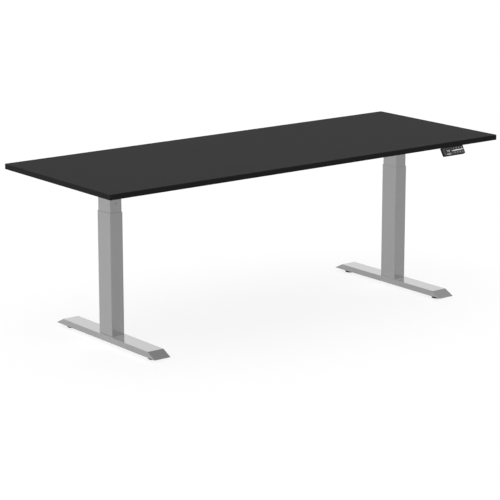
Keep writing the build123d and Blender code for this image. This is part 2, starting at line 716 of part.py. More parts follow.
# Crossbar rails: two C sections that lap both motor channels, flanges outwards
for end, way in ENDS:
    with BuildPart() as rail:
        with BuildSketch(Plane.YZ.offset(-rail_half)):
            with Locations((way * (rail_y + RAIL_WIDTH / 2), top_bottom - RAIL_HEIGHT / 2)):
                Rectangle(RAIL_WIDTH, RAIL_HEIGHT)
            fillet(vertices().group_by(Axis.X)[0 if way > 0 else -1], RAIL_BEND_R)
            with Locations((way * (rail_y + RAIL_WIDTH + RAIL_WALL), top_bottom - RAIL_HEIGHT / 2)):
                RectangleRounded(
                    2 * RAIL_WIDTH,
                    RAIL_HEIGHT - 2 * RAIL_WALL,
                    RAIL_BEND_R - RAIL_WALL,
                    mode=Mode.SUBTRACT,
                )
        extrude(amount=2 * rail_half)
        with BuildSketch(Plane.XY.offset(top_bottom)):
            with Locations(*rail_screws[end]):
                Circle(SCREW_R + RUNNING)
        extrude(amount=-RAIL_WALL, mode=Mode.SUBTRACT)
        with BuildSketch(Plane.XZ.offset(-way * rail_y)):
            with Locations(*[(s * bolt_x, rail_bolt_z) for _, s in SIDES for bolt_x in rail_bolt_xs]):
                Circle(BOLT_R + RUNNING)
        extrude(amount=-way * RAIL_WALL, mode=Mode.SUBTRACT)
    write(rail, f"{end}_rail")

# Frame bolts: rails to channels, then brackets to channels, each with its head on the outside
with BuildPart() as frame_bolts:
    for end, way in ENDS:
        seat = Plane.XZ.offset(-way * (rail_y + RAIL_WALL))
        for radius, reach in ((BOLT_HEAD_R, BOLT_HEAD), (BOLT_R, -RAIL_WALL - CHANNEL_SHEET)):
            with BuildSketch(seat):
                with Locations(*[(s * bolt_x, rail_bolt_z) for _, s in SIDES for bolt_x in rail_bolt_xs]):
                    Circle(radius)
            extrude(amount=-way * reach)
    for side, sign in SIDES:
        seat = Plane.YZ.offset(sign * (channel_out + BRACKET_SHEET))
        for radius, reach in ((BOLT_HEAD_R, BOLT_HEAD), (BOLT_R, -BRACKET_SHEET - CHANNEL_SHEET)):
            with BuildSketch(seat):
                with Locations((0, bracket_bolt_z)):
                    with GridLocations(bracket_bolt_dy, bracket_bolt_dz, 2, 2):
                        Circle(radius)
            extrude(amount=sign * reach)
write(frame_bolts, "frame_bolts")

# Wood screws that hold the brackets, rails, control box and handset to the desktop
with BuildPart() as desktop_screws:
    for x, y, sheet in screw_seats:
        with Locations((x, y, top_bottom - sheet)):
            Cylinder(SCREW_R, sheet + SCREW_GRIP, align=STAND)
            Cylinder(SCREW_HEAD_R, SCREW_HEAD, align=HANG)
write(desktop_screws, "desktop_screws")

# Control box between the rails: a moulded tray with two ears and its sockets, and a lid below
box_bottom = top_bottom - BOX_HEIGHT
tray_bottom = box_bottom + BOX_LID
box_end = Plane.YZ.offset(BOX_LENGTH / 2)
socket_z = (top_bottom + tray_bottom) / 2
with BuildPart() as control_box:
    with BuildSketch(Plane.XY.offset(tray_bottom)):
        rounded(BOX_LENGTH, BOX_WIDTH, BOX_ROUND)
    extrude(amount=top_bottom - tray_bottom)
    with BuildSketch(Plane.XY.offset(top_bottom)):
        rounded(BOX_LENGTH + 2 * BOX_EAR, BOX_WIDTH, BOX_ROUND)
    extrude(amount=-BOX_EAR_SHEET)
    with BuildSketch(Plane.XY.offset(top_bottom)):
        with Locations(*box_screws):
            Circle(SCREW_R + RUNNING)
    extrude(amount=-BOX_EAR_SHEET, mode=Mode.SUBTRACT)
    with BuildSketch(box_end):
        with Locations((-BOX_WIDTH / 4, socket_z)):
            rounded(INLET_WIDTH, INLET_HEIGHT, INLET_ROUND)
        with Locations((BOX_WIDTH / 4, socket_z)):
            with GridLocations(PORT_PITCH, 0, 2, 1):
                Rectangle(PORT_WIDTH, PORT_HEIGHT)
    extrude(amount=-SOCKET_DEPTH, mode=Mode.SUBTRACT)
write(control_box, "control_box")

with BuildPart() as control_lid:
    with BuildSketch(Plane.XY.offset(box_bottom)):
        rounded(BOX_LENGTH, BOX_WIDTH, BOX_ROUND)
    extrude(amount=BOX_LID)
    chamfer(control_lid.faces().sort_by(Axis.Z)[0].edges(), BOX_LID_CHAMFER)
write(control_lid, "control_lid")

# Handset housing: a slim case tilted up under the front edge, on a ribbed tab that is screwed to the desktop
facing = Axis(face.origin, face.z_dir)
back_top_y = face_top_y + HANDSET_DEPTH * math.cos(tilt)
back_top_z = top_bottom - HANDSET_DEPTH * math.sin(tilt)
tab_front_y = (face_top_y + back_top_y) / 2
tab_bottom = top_bottom - HANDSET_TAB_SHEET
rib_foot_y = back_top_y - HANDSET_RIB_DROP * math.sin(tilt)
rib_foot_z = back_top_z - HANDSET_RIB_DROP * math.cos(tilt)
with BuildPart() as handset:
    with BuildSketch(face):
        Rectangle(HANDSET_WIDTH, HANDSET_FACE)
    extrude(amount=-HANDSET_DEPTH)
    fillet(handset.edges().filter_by(facing).group_by(Axis.Z)[0], HANDSET_CHIN_R)
    fillet(handset.edges().filter_by(facing).group_by(Axis.Z)[-1], HANDSET_BROW_R)
    fillet(handset.faces().sort_by(facing)[-1].edges(), HANDSET_RIM_R)
    with BuildSketch(Plane.XY.offset(top_bottom)):
        with Locations((handset_x, (tab_front_y + tab_back_y) / 2)):
            Rectangle(tab_width, tab_back_y - tab_front_y)
    extrude(amount=-HANDSET_TAB_SHEET)
    fillet(handset.edges().filter_by(Axis.Z).group_by(Axis.Y)[-1], HANDSET_TAB_R)
    for place in (-1, 0, 1):
        with BuildSketch(Plane.YZ.offset(handset_x + place * HANDSET_RIB_PITCH - HANDSET_RIB / 2)):
            with BuildLine():
                Polyline(
                    (back_top_y, tab_bottom),
                    (back_top_y, back_top_z),
                    (rib_foot_y, rib_foot_z),
                    (back_top_y + HANDSET_RIB_REACH, tab_bottom),
                    close=True,
                )
            make_face()
        extrude(amount=HANDSET_RIB)
    with BuildSketch(face):
        rounded(fascia_width, fascia_height, FASCIA_ROUND)
    extrude(amount=-FASCIA_SHEET, mode=Mode.SUBTRACT)
    with BuildSketch(face):
        rounded(cavity_width, cavity_height, FASCIA_ROUND)
    extrude(amount=-handset_cavity, mode=Mode.SUBTRACT)
    with BuildSketch(Plane.XY.offset(top_bottom)):
        with Locations(*handset_screws):
            Circle(SCREW_R + RUNNING)
    extrude(amount=-HANDSET_TAB_SHEET, mode=Mode.SUBTRACT)
write(handset, "handset_housing")

# Handset fascia, with a window for the display and an opening for each key
with BuildPart() as fascia:
    with BuildSketch(face.offset(-FASCIA_SHEET)):
        rounded(fascia_width - 2 * FIT, fascia_height - 2 * FIT, FASCIA_ROUND)
        with Locations((display_u, DISPLAY_RISE)):
            Rectangle(DISPLAY_WIDTH, DISPLAY_HEIGHT, mode=Mode.SUBTRACT)
        with Locations(*keys.values()):
            RectangleRounded(
                key_width + 2 * RUNNING, key_height + 2 * RUNNING, KEY_ROUND + RUNNING, mode=Mode.SUBTRACT
            )
    extrude(amount=FASCIA_SHEET)
write(fascia, "handset_fascia")

# Display: a module behind the fascia whose window stands in the opening
with BuildPart() as display:
    with BuildSketch(face.offset(-FASCIA_SHEET - display_depth)):
        with Locations((display_u, DISPLAY_RISE)):
            Rectangle(DISPLAY_WIDTH + 2 * DISPLAY_LIP, DISPLAY_HEIGHT + 2 * DISPLAY_LIP)
    extrude(amount=display_depth)
    with BuildSketch(face.offset(-FASCIA_SHEET)):
        with Locations((display_u, DISPLAY_RISE)):
            Rectangle(DISPLAY_WIDTH - 2 * FIT, DISPLAY_HEIGHT - 2 * FIT)
    extrude(amount=FASCIA_SHEET - RUNNING)
write(display, "handset_display")

# Circuit board on the cavity's floor
with BuildPart() as board:
    with BuildSketch(face.offset(-handset_cavity)):
        rounded(cavity_width - 2 * RUNNING, cavity_height - 2 * RUNNING, FASCIA_ROUND)
    extrude(amount=BOARD_SHEET)
write(board, "handset_board")

# Keys: each cap stands a little proud, and its lip keeps it behind the fascia
for name, (u, v) in keys.items():
    with BuildPart() as key:
        with BuildSketch(face.offset(-FASCIA_SHEET - FIT)):
            with Locations((u, v)):
                rounded(key_width + 2 * KEY_FLANGE_LIP, key_height + 2 * KEY_FLANGE_LIP, KEY_ROUND)
        extrude(amount=-KEY_FLANGE)
        with BuildSketch(face.offset(-FASCIA_SHEET - FIT)):
            with Locations((u, v)):
                rounded(key_width, key_height, KEY_ROUND)
        extrude(amount=FASCIA_SHEET + FIT + KEY_PROUD)
    write(key, name)
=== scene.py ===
import json
import math

import bmesh
import bpy
from bpy.props import FloatProperty, FloatVectorProperty, PointerProperty, StringProperty
from mathutils import Matrix, Vector


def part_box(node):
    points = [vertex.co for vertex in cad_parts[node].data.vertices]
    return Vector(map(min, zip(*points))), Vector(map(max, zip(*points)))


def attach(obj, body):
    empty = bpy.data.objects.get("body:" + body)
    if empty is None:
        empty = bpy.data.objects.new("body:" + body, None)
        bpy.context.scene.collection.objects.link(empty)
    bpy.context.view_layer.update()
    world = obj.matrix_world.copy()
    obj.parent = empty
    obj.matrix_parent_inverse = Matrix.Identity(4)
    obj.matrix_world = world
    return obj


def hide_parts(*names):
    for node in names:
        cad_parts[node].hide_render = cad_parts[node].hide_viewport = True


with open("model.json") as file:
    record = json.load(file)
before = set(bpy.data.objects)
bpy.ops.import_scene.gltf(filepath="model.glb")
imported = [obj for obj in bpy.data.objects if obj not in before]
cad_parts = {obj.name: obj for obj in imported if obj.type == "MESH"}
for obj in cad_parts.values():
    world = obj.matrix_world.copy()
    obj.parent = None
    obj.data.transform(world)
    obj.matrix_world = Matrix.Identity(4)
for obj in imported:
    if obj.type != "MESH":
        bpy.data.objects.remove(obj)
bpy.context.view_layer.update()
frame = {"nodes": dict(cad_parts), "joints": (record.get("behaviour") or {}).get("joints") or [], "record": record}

bl_info = {
    "name": "Height Adjustable Desk",
    "version": (1, 0, 0),
    "blender": (4, 5, 0),
    "location": "View3D > Sidebar > Desk",
    "description": "Finishes, fasteners and handset markings for a height adjustable desk",
    "category": "Object",
}

SIDES = ("left", "right")
ENDS = ("front", "back")
MM = 0.001
UP = Vector((0, 0, 1))

# The keys' press direction points into the handset, so its opposite faces the user
PRESS = next(joint for joint in frame["joints"] if joint["name"] == "key_one_press")
HANDSET_NORMAL = -Vector(PRESS["axis"])


def tint(label, description, default):
    """A colour that a user may change."""
    return FloatVectorProperty(
        name=label, description=description, subtype="COLOR", size=3, min=0.0, max=1.0, default=default
    )


def length(label, description, default):
    """A length in metres."""
    return FloatProperty(
        name=label, description=description, unit="LENGTH", precision=5, min=0.0, default=default
    )


def number(label, description, default):
    """A plain number such as a strength or a roughness."""
    return FloatProperty(name=label, description=description, min=0.0, default=default)


def turn(label, description, degrees):
    """An angle, given in degrees."""
    angle = math.radians(degrees)
    return FloatProperty(name=label, description=description, unit="ROTATION", default=angle)


class DeskFinishes(bpy.types.PropertyGroup):
    """Colours of the desk's finishes"""

    board: tint("Board", "Black faced board of the desktop", (0.026, 0.026, 0.026))
    band: tint("Edge band", "Band round the desktop", (0.025, 0.025, 0.025))
    paint: tint("Frame paint", "Grey metallic lacquer on columns, feet and frame", (0.319, 0.319, 0.319))
    steel: tint("Bright steel", "Screws and shafts inside the columns", (0.56, 0.57, 0.58))
    fastener: tint("Fasteners", "Zinc plated bolts and wood screws", (0.42, 0.42, 0.43))
    alloy: tint("Cast alloy", "Gearboxes and bearing carriers", (0.60, 0.60, 0.61))
    motor: tint("Motor can", "Painted motor cases", (0.045, 0.045, 0.047))
    glide: tint("Glides", "Plastic linings between the tubes", (0.12, 0.12, 0.12))
    pad: tint("Leveller pads", "Black plastic under the feet", (0.006, 0.006, 0.006))
    box: tint("Control box", "Moulded box under the desktop", (0.028, 0.028, 0.028))
    housing: tint("Handset", "Moulded handset housing", (0.016, 0.016, 0.016))
    fascia: tint("Handset face", "Glossy front of the handset", (0.055, 0.055, 0.055))
    key: tint("Keys", "Soft keys of the handset", (0.028, 0.028, 0.028))
    window: tint("Display window", "Smoked window over the digits", (0.012, 0.012, 0.013))
    print: tint("Printed marks", "Pale print on the handset", (0.95, 0.95, 0.95))
    board_green: tint("Circuit board", "Board inside the handset", (0.015, 0.10, 0.045))
    contact: tint("Contacts", "Plated contacts in the sockets", (0.72, 0.60, 0.34))


class DeskDetails(bpy.types.PropertyGroup):
    """Sizes of the small parts that the CAD model leaves plain"""

    edge_round: length("Edge easing", "Radius that the paint gives to sharp edges", 0.6 * MM)
    small_round: length("Handset easing", "Radius of the handset's sharp edges", 0.4 * MM)
    zinc_round: length("Fastener easing", "Radius of the bolts' and screws' sharp edges", 0.3 * MM)
    fine_round: length("Fine easing", "Radius of the studs' and contacts' sharp edges", 0.1 * MM)
    bead: length("Weld bead", "Radius of the weld round each inner tube", 2.0 * MM)
    bead_pitch: length("Weld ripple", "Distance between ripples of the weld", 2.6 * MM)
    bolt_head: length("Bolt head", "Height of the frame bolts' heads", 3.5 * MM)
    bolt_shank: length("Bolt shank", "Radius of the frame bolts", 3.0 * MM)
    base_head: length("Base bolt head", "Height of the base bolts' heads", 6.0 * MM)
    base_shank: length("Base bolt shank", "Radius of the base bolts", 4.0 * MM)
    screw_head: length("Screw head", "Height of the wood screws' heads", 2.5 * MM)
    screw_shank: length("Screw shank", "Radius of the wood screws", 2.0 * MM)
    screw_pitch: length("Lifting thread", "Pitch of the lifting screws' threads", 4.0 * MM)
    hex_share: number("Hex socket", "Hex recess across, as a share of the bolt head", 0.56)
    cross_share: number("Cross recess", "Cross recess across, as a share of the screw head", 0.60)
    pad_height: length("Pad height", "Height of a leveller's pad", 9.0 * MM)
    pad_round: length("Pad shoulder", "Radius round the top of the pad", 2.0 * MM)
    pad_chamfer: length("Pad chamfer", "Chamfer round the foot of the pad", 1.0 * MM)
    pad_groove: length("Sole groove", "Depth of the grooves under the pad", 0.8 * MM)
    stud_hex: length("Stud hexagon", "Leveller's hexagon across its flats", 13.0 * MM)
    stud_hex_height: length("Stud hexagon height", "Height of that hexagon", 4.0 * MM)
    stud: length("Stud", "Radius of a leveller's stud", 4.0 * MM)
    stud_pitch: length("Stud thread", "Pitch of the stud's thread", 1.25 * MM)
    ink: length("Ink", "Thickness of a printed mark", 0.05 * MM)
    digit_height: length("Digit height", "Height of the display's digits", 8.5 * MM)
    digit_pitch: length("Digit pitch", "Distance from digit to digit", 11.3 * MM)
    digit_shift: length("Digit shift", "Digits to the right of the display's middle", 0.6 * MM)
    digit_drop: length("Digit drop", "Digits below the display's middle", 1.2 * MM)
    digit_slant: turn("Digit slant", "Lean of the display's digits", 6.0)
    legend: length("Legend", "Height of the marks on the keys", 5.4 * MM)
    wave: length("Wave", "Swing of the line between the rows of keys", 0.5 * MM)
    wave_length: length("Wave length", "Distance between that line's crests", 33.0 * MM)
    wave_rise: length("Wave rise", "Climb of that line from end to end", 1.8 * MM)
    wave_line: length("Wave line", "Width of that line", 4.0 * MM)
    wave_gap: length("Wave gap", "Gap between the display and that line", 3.0 * MM)
    wave_margin: length("Wave margin", "Gap between that line and the right edge", 0.4 * MM)
    bar_width: length("Status bar", "Straight part of the bar under the display", 20.0 * MM)
    bar_height: length("Status bar height", "Height of that bar", 2.2 * MM)
    bar_drop: length("Status bar drop", "Bar below the display's middle", 15.0 * MM)
    reading: StringProperty(name="Reading", description="Height shown, in centimetres", default="70")


class DeskStage(bpy.types.PropertyGroup):
    """Floor, light and camera"""

    floor_size: length("Floor", "Side of the floor", 60.0)
    floor_seen: number("Floor, seen", "Reflectance of the floor as the camera sees it", 0.935)
    floor_bounce: number("Floor, bounced", "Reflectance of the floor for light sent to the desk", 0.25)
    sky: number("Sky", "Strength of the even light from all round", 0.275)
    sky_seen: number("Sky, seen overhead", "Strength of the sky that shiny faces mirror overhead", 0.25)
    sky_low: turn("White up to", "Height in the sky up to which it is seen as white", 22.0)
    sky_high: turn("Dimmed from", "Height in the sky from which its overhead strength is seen", 48.0)
    key_top: number("From above", "Share of the key light that falls on level faces", 0.82)
    key_left: number("From the left", "Share of the key light that falls on left faces", 0.42)
    key_front: number("From the front", "Share of the key light that falls on front faces", 0.14)
    softness: turn("Softness", "Width of the key light", 30.0)
    lens: FloatProperty(name="Lens", description="Focal length", unit="CAMERA", default=147.33)
    camera_at: FloatVectorProperty(
        name="Camera",
        description="Where the camera stands",
        subtype="TRANSLATION",
        default=(-5.1454, -6.5572, 2.2986),
    )
    yaw: turn("Yaw", "Turn of the camera to the right of +Y", 37.846)
    pitch: turn("Pitch", "Tilt of the camera below level", 13.693)


# Shader building


class Sheet:
    """A node tree with short calls to add nodes and join them."""

    def __init__(self, tree):
        self.tree = tree

    def feed(self, socket, value):
        """Links a socket to another one, or sets it where the value is plain."""
        if isinstance(value, bpy.types.NodeSocket):
            self.tree.links.new(value, socket)
        else:
            socket.default_value = value

    def join(self, node, **inputs):
        """Feeds a node's inputs by name, with _ for a space."""
        for name, value in inputs.items():
            self.feed(node.inputs[name.replace("_", " ")], value)
        return node

    def node(self, kind, **inputs):
        return self.join(self.tree.nodes.new(kind), **inputs)

    def use(self, name, **inputs):
        """Places a shared effect and gives its outputs."""
        made = self.node("ShaderNodeGroup")
        made.node_tree = bpy.data.node_groups[name]
        return self.join(made, **inputs).outputs

    def operate(self, kind, operation, values):
        made = self.node(kind)
        made.operation = operation
        for socket, value in zip(made.inputs, values):
            self.feed(socket, value)
        return made.outputs

    def math(self, operation, *values):
        return self.operate("ShaderNodeMath", operation, values)["Value"]

    def vector(self, operation, *values):
        output = "Value" if operation == "DOT_PRODUCT" else "Vector"
        return self.operate("ShaderNodeVectorMath", operation, values)[output]

    def spread(self, value, low, high, to_low, to_high):
        """Maps one range of values to another, and holds at its ends."""
        ends = {"From_Min": low, "From_Max": high, "To_Min": to_low, "To_Max": to_high}
        return self.node("ShaderNodeMapRange", Value=value, **ends).outputs["Result"]

    def mix(self, share, first, second):
        made = self.node("ShaderNodeMix")
        made.data_type = "RGBA"
        return self.join(made, Factor=share, A=first, B=second).outputs["Result"]

    def noise(self, place, scale, detail=2.0, roughness=0.5):
        kind = {"Scale": scale, "Detail": detail, "Roughness": roughness}
        return self.node("ShaderNodeTexNoise", Vector=place, **kind).outputs["Fac"]

    def bump(self, height, depth, strength, **under):
        made = self.node("ShaderNodeBump", Height=height, Strength=strength, Distance=depth, **under)
        return made.outputs["Normal"]

    def place(self):
        return self.node("ShaderNodeTexCoord").outputs["Object"]


def group(name, inputs, outputs):
    """A new shader node group with named sockets: its sheet, what it is given and its output node."""
    tree = bpy.data.node_groups.new(name, "ShaderNodeTree")
    for label, default in inputs.items():
        socket = tree.interface.new_socket(label, in_out="INPUT", socket_type=VALUE)
        socket.default_value = default
    for label, kind in outputs.items():
        tree.interface.new_socket(label, in_out="OUTPUT", socket_type=kind)
    sheet = Sheet(tree)
    return sheet, sheet.node("NodeGroupInput").outputs, sheet.node("NodeGroupOutput")


# Shared surface effects, as node groups

GRAIN = "surface_grain"
EDGES = "eased_edges"
LINES = "drawn_lines"
THREAD = "thread_rings"
VALUE = "NodeSocketFloat"
NORMAL = "NodeSocketVector"

# Scale of the coarse waves in a grain, and the fine pebbles' share of its height
COARSE_SCALE = 0.22
FINE_SHARE = 0.65
# Samples that find an edge, and how far its two faces' normals agree where it is counted in full
EDGE_SAMPLES = 6
EDGE_AGREEMENT = 0.75


def build_grain():
    """Fine pebbling of a coat, a moulding or a casting, and a slow mottle of its tone."""
    scales = {"Scale": 900.0, "Mottle Scale": 6.0}
    sheet, given, out = group(GRAIN, scales, {"Height": VALUE, "Mottle": VALUE})
    place = sheet.place()
    pebbles = sheet.noise(place, given["Scale"], detail=3.0, roughness=0.55)
    waves = sheet.noise(place, sheet.math("MULTIPLY", given["Scale"], COARSE_SCALE), detail=1.0)
    fine = sheet.math("MULTIPLY", pebbles, FINE_SHARE)
    coarse = sheet.math("MULTIPLY", waves, 1.0 - FINE_SHARE)
    mottle = sheet.noise(place, given["Mottle Scale"], detail=4.0, roughness=0.6)
    sheet.join(out, Height=sheet.math("ADD", fine, coarse), Mottle=mottle)


def build_edges():
    """Normals rounded over sharp edges, and a mask of where those edges are."""
    sheet, given, out = group(EDGES, {"Radius": 0.6 * MM}, {"Normal": NORMAL, "Edge": VALUE})
    eased = sheet.node("ShaderNodeBevel", Radius=given["Radius"])
    eased.samples = EDGE_SAMPLES
    flat = sheet.node("ShaderNodeNewGeometry").outputs["Normal"]
    agreement = sheet.vector("DOT_PRODUCT", eased.outputs["Normal"], flat)
    edge = sheet.spread(agreement, 1.0, EDGE_AGREEMENT, 0.0, 1.0)
    sheet.join(out, Normal=eased.outputs["Normal"], Edge=edge)


def build_lines():
    """Faint level lines, as extruding or drawing leaves along a piece."""
    sheet, given, out = group(LINES, {"Scale": 2500.0, "Stretch": 0.01}, {"Streak": VALUE})
    squeeze = sheet.node("ShaderNodeCombineXYZ", X=given["Stretch"], Y=given["Stretch"], Z=1.0)
    drawn = sheet.vector("MULTIPLY", sheet.place(), squeeze.outputs["Vector"])
    sheet.join(out, Streak=sheet.noise(drawn, given["Scale"]))


def build_thread():
    """Crests and roots of a screw thread up a standing screw."""
    sheet, given, out = group(THREAD, {"Pitch": 4.0 * MM}, {"Height": VALUE})
    up = sheet.node("ShaderNodeSeparateXYZ", Vector=sheet.place()).outputs["Z"]
    half = sheet.math("MULTIPLY", given["Pitch"], 0.5)
    sheet.join(out, Height=sheet.math("DIVIDE", sheet.math("PINGPONG", up, half), half))


# Finishes

# Nearly all values of a noise lie in the first span; wear shows fully above the second
NOISE_SPAN = (0.3, 0.7)
WEAR_SPAN = (0.35, 0.65)
# How much paler than its finish a worn edge is
WORN_SHARE = 1.6


def colour(rgb, share=1.0):
    """An RGBA colour, lightened or darkened by a share."""
    return (*(channel * share for channel in rgb), 1.0)


def finish(name, roughness, specular=0.5, metallic=0.0):
    """A new material, its sheet and its shader, with the values that are the same all over."""
    material = bpy.data.materials.new(name)
    material.use_nodes = True
    sheet = Sheet(material.node_tree)
    shader = material.node_tree.nodes["Principled BSDF"]
    sheet.join(shader, Roughness=roughness, Specular_IOR_Level=specular, Metallic=metallic)
    return material, sheet, shader


def mottled(sheet, mask, rgb, dark, light):
    """A tone that wanders between a darker and a lighter share of a colour."""
    return sheet.mix(mask, colour(rgb, dark), colour(rgb, light))


def worn(sheet, grain, edges, rgb, vary, wear):
    """A mottled tone that is paler in patches along the edges."""
    tone = mottled(sheet, grain["Mottle"], rgb, 1.0 - vary, 1.0 + vary)
    patches = sheet.spread(grain["Mottle"], *WEAR_SPAN, 0.0, wear)
    return sheet.mix(sheet.math("MULTIPLY", edges["Edge"], patches), tone, colour(rgb, WORN_SHARE))


def grained(name, rgb, ease, roughness, grain, depth, specular=0.5, metallic=0.0, vary=0.04, wear=0.0):
    """A coat, moulding or casting: pebbled and mottled, with its sharp edges eased and a little worn."""
    material, sheet, shader = finish(name, roughness, specular, metallic)
    pebbles = sheet.use(GRAIN, Scale=grain)
    edges = sheet.use(EDGES, Radius=ease)
    sheet.join(
        shader,
        Base_Color=worn(sheet, pebbles, edges, rgb, vary, wear),
        Roughness=sheet.spread(pebbles["Height"], *NOISE_SPAN, roughness - 0.05, roughness + 0.07),
        Normal=sheet.bump(pebbles["Height"], depth, strength=0.5, Normal=edges["Normal"]),
    )
    return material


def metallic_lacquer(finishes, details):
    """Smooth grey lacquer with metal flake in it, under a clear coat."""
    material, sheet, shader = finish("grey_lacquer", roughness=0.1, metallic=0.275)
    flake = sheet.use(GRAIN, Scale=4000.0, Mottle_Scale=5.0)
    edges = sheet.use(EDGES, Radius=details.edge_round)
    sheet.join(
        shader,
        Coat_Weight=1.0,
        Coat_Roughness=0.05,
        Coat_IOR=1.65,
        Base_Color=worn(sheet, flake, edges, finishes.paint, vary=0.03, wear=0.12),
        Roughness=sheet.spread(flake["Height"], *NOISE_SPAN, 0.08, 0.14),
        Normal=sheet.bump(flake["Height"], 0.004 * MM, strength=0.2, Normal=edges["Normal"]),
    )
    return material


def drawn_metal(name, rgb, ease, roughness, thread=0.0):
    """Bright metal with fine drawing lines, threaded where a pitch is given."""
    material, sheet, shader = finish(name, roughness, metallic=1.0)
    lines = sheet.use(LINES, Scale=3000.0)
    grain = sheet.use(GRAIN, Scale=400.0, Mottle_Scale=40.0)
    edges = sheet.use(EDGES, Radius=ease)
    if thread:
        relief = (sheet.use(THREAD, Pitch=thread)["Height"], thread / 4, 1.0)
    else:
        relief = (lines["Streak"], 0.02 * MM, 0.2)
    sheet.join(
        shader,
        Base_Color=mottled(sheet, grain["Mottle"], rgb, dark=0.9, light=1.1),
        Roughness=sheet.spread(lines["Streak"], *NOISE_SPAN, roughness - 0.08, roughness + 0.08),
        Normal=sheet.bump(*relief, Normal=edges["Normal"]),
    )
    return material


def banded_edge(finishes, details):
    """Thin plastic band with faint lines along it."""
    material, sheet, shader = finish("edge_band_plastic", roughness=0.5, specular=0.02)
    lines = sheet.use(LINES, Scale=2200.0)
    edges = sheet.use(EDGES, Radius=details.edge_round)
    sheet.join(
        shader,
        Base_Color=mottled(sheet, lines["Streak"], finishes.band, dark=0.9, light=1.15),
        Roughness=sheet.spread(lines["Streak"], *NOISE_SPAN, 0.44, 0.58),
        Normal=sheet.bump(lines["Streak"], 0.03 * MM, strength=0.2, Normal=edges["Normal"]),
    )
    return material


def traced_board(finishes):
    """Circuit board: green lacquer over rows of copper tracks."""
    material, sheet, shader = finish("circuit_board_lacquer", roughness=0.35)
    rows = sheet.node("ShaderNodeTexBrick", Vector=sheet.place(), Scale=220.0, Mortar_Size=0.06)
    tracks = rows.outputs["Fac"]
    grain = sheet.use(GRAIN, Scale=700.0)
    lacquer = mottled(sheet, grain["Mottle"], finishes.board_green, dark=0.8, light=1.2)
    sheet.join(
        shader,
        Base_Color=sheet.mix(tracks, lacquer, colour(finishes.board_green, 2.2)),
        Normal=sheet.bump(tracks, 0.04 * MM, strength=0.4),
    )
    return material


def printed_ink(finishes):
    """Pale screen print, a little uneven."""
    material, sheet, shader = finish("printed_ink", roughness=0.5, specular=0.3)
    grain = sheet.use(GRAIN, Scale=2500.0, Mottle_Scale=300.0)
    sheet.join(
        shader,
        Base_Color=mottled(sheet, grain["Mottle"], finishes.print, dark=0.9, light=1.05),
        Normal=sheet.bump(grain["Height"], 0.01 * MM, strength=0.2),
    )
    return material


def lit_segment(finishes):
    """Lit digits that glow a little unevenly."""
    material, sheet, shader = finish("lit_segment", roughness=0.4)
    grain = sheet.use(GRAIN, Scale=1800.0, Mottle_Scale=500.0)
    glow = mottled(sheet, grain["Mottle"], finishes.print, dark=0.85, light=1.1)
    sheet.join(shader, Base_Color=glow, Emission_Color=glow, Emission_Strength=0.35)
    return material


def assign(slot, material):
    """Gives the material to every CAD node that the record puts in that slot."""
    held = [place for node in frame["nodes"].values() for place in node.material_slots]
    meant = [place for place in held if place.material and place.material.name == slot]
    if not meant:
        raise ValueError(f"no CAD node has the slot {slot}")
    for place in meant:
        place.material = material


# Mesh building

SMOOTH_ANGLE = math.radians(35)
MERGE_GAP = 0.001 * MM
# Degrees between the points of a round corner or a round end
ARC_STEP = 15


def put(name, data):
    """A new object in the scene."""
    made = bpy.data.objects.new(name, data)
    bpy.context.scene.collection.objects.link(made)
    return made


def formed(name, bm, material):
    """A new object of that form and material."""
    mesh = bpy.data.meshes.new(name)
    bm.to_mesh(mesh)
    bm.free()
    mesh.materials.append(material)
    return put(name, mesh)


def new_piece(name, bm, material, body):
    """A mesh object of the given finish, that rides on a CAD body."""
    bmesh.ops.recalc_face_normals(bm, faces=bm.faces)
    piece = formed(name, bm, material)
    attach(piece, body)
    return piece


def smooth(piece):
    """Shades a piece smooth except over its sharp edges."""
    piece.data.shade_smooth()
    piece.data.set_sharp_from_angle(angle=SMOOTH_ANGLE)


def circle(radius, count=40):
    """Points round the origin."""
    angles = [2 * math.pi * k / count for k in range(count)]
    return [(radius * math.cos(angle), radius * math.sin(angle)) for angle in angles]


def bridge(bm, one, other):
    """Faces between two closed rings of points."""
    for k in range(len(one)):
        j = (k + 1) % len(one)
        bm.faces.new((one[k], one[j], other[j], other[k]))


def islands(node):
    """Lowest and highest corner of each separate solid in a CAD node."""
    bm = bmesh.new()
    bm.from_mesh(frame["nodes"][node].data)
    bmesh.ops.remove_doubles(bm, verts=bm.verts, dist=MERGE_GAP)
    seen, boxes = set(), []
    for start in bm.verts:
        if start in seen:
            continue
        seen.add(start)
        front, found = [start], []
        while front:
            vert = front.pop()
            found.append(vert.co.copy())
            near = {edge.other_vert(vert) for edge in vert.link_edges} - seen
            seen |= near
            front.extend(near)
        boxes.append(tuple(Vector(pick(co[k] for co in found) for k in range(3)) for pick in (min, max)))
    bm.free()
    return boxes


TURNED_SIDES = 48
RIB_DEPTH = 0.03
CROSS_WAIST = 0.30
CROSS_SHARPNESS = 6


def reach(shape, angle):
    """How far a hexagon (by its flats), a cross, a ribbed rim or a circle reaches at an angle."""
    if shape == "hex":
        return 1.0 / math.cos((angle + math.pi / 6) % (math.pi / 3) - math.pi / 6)
    if shape == "cross":
        return CROSS_WAIST + (1 - CROSS_WAIST) * abs(math.cos(2 * angle)) ** CROSS_SHARPNESS
    if shape == "ribs":
        return 1.0 - RIB_DEPTH * (1 - math.cos(TURNED_SIDES / 2 * angle)) / 2
    return 1.0


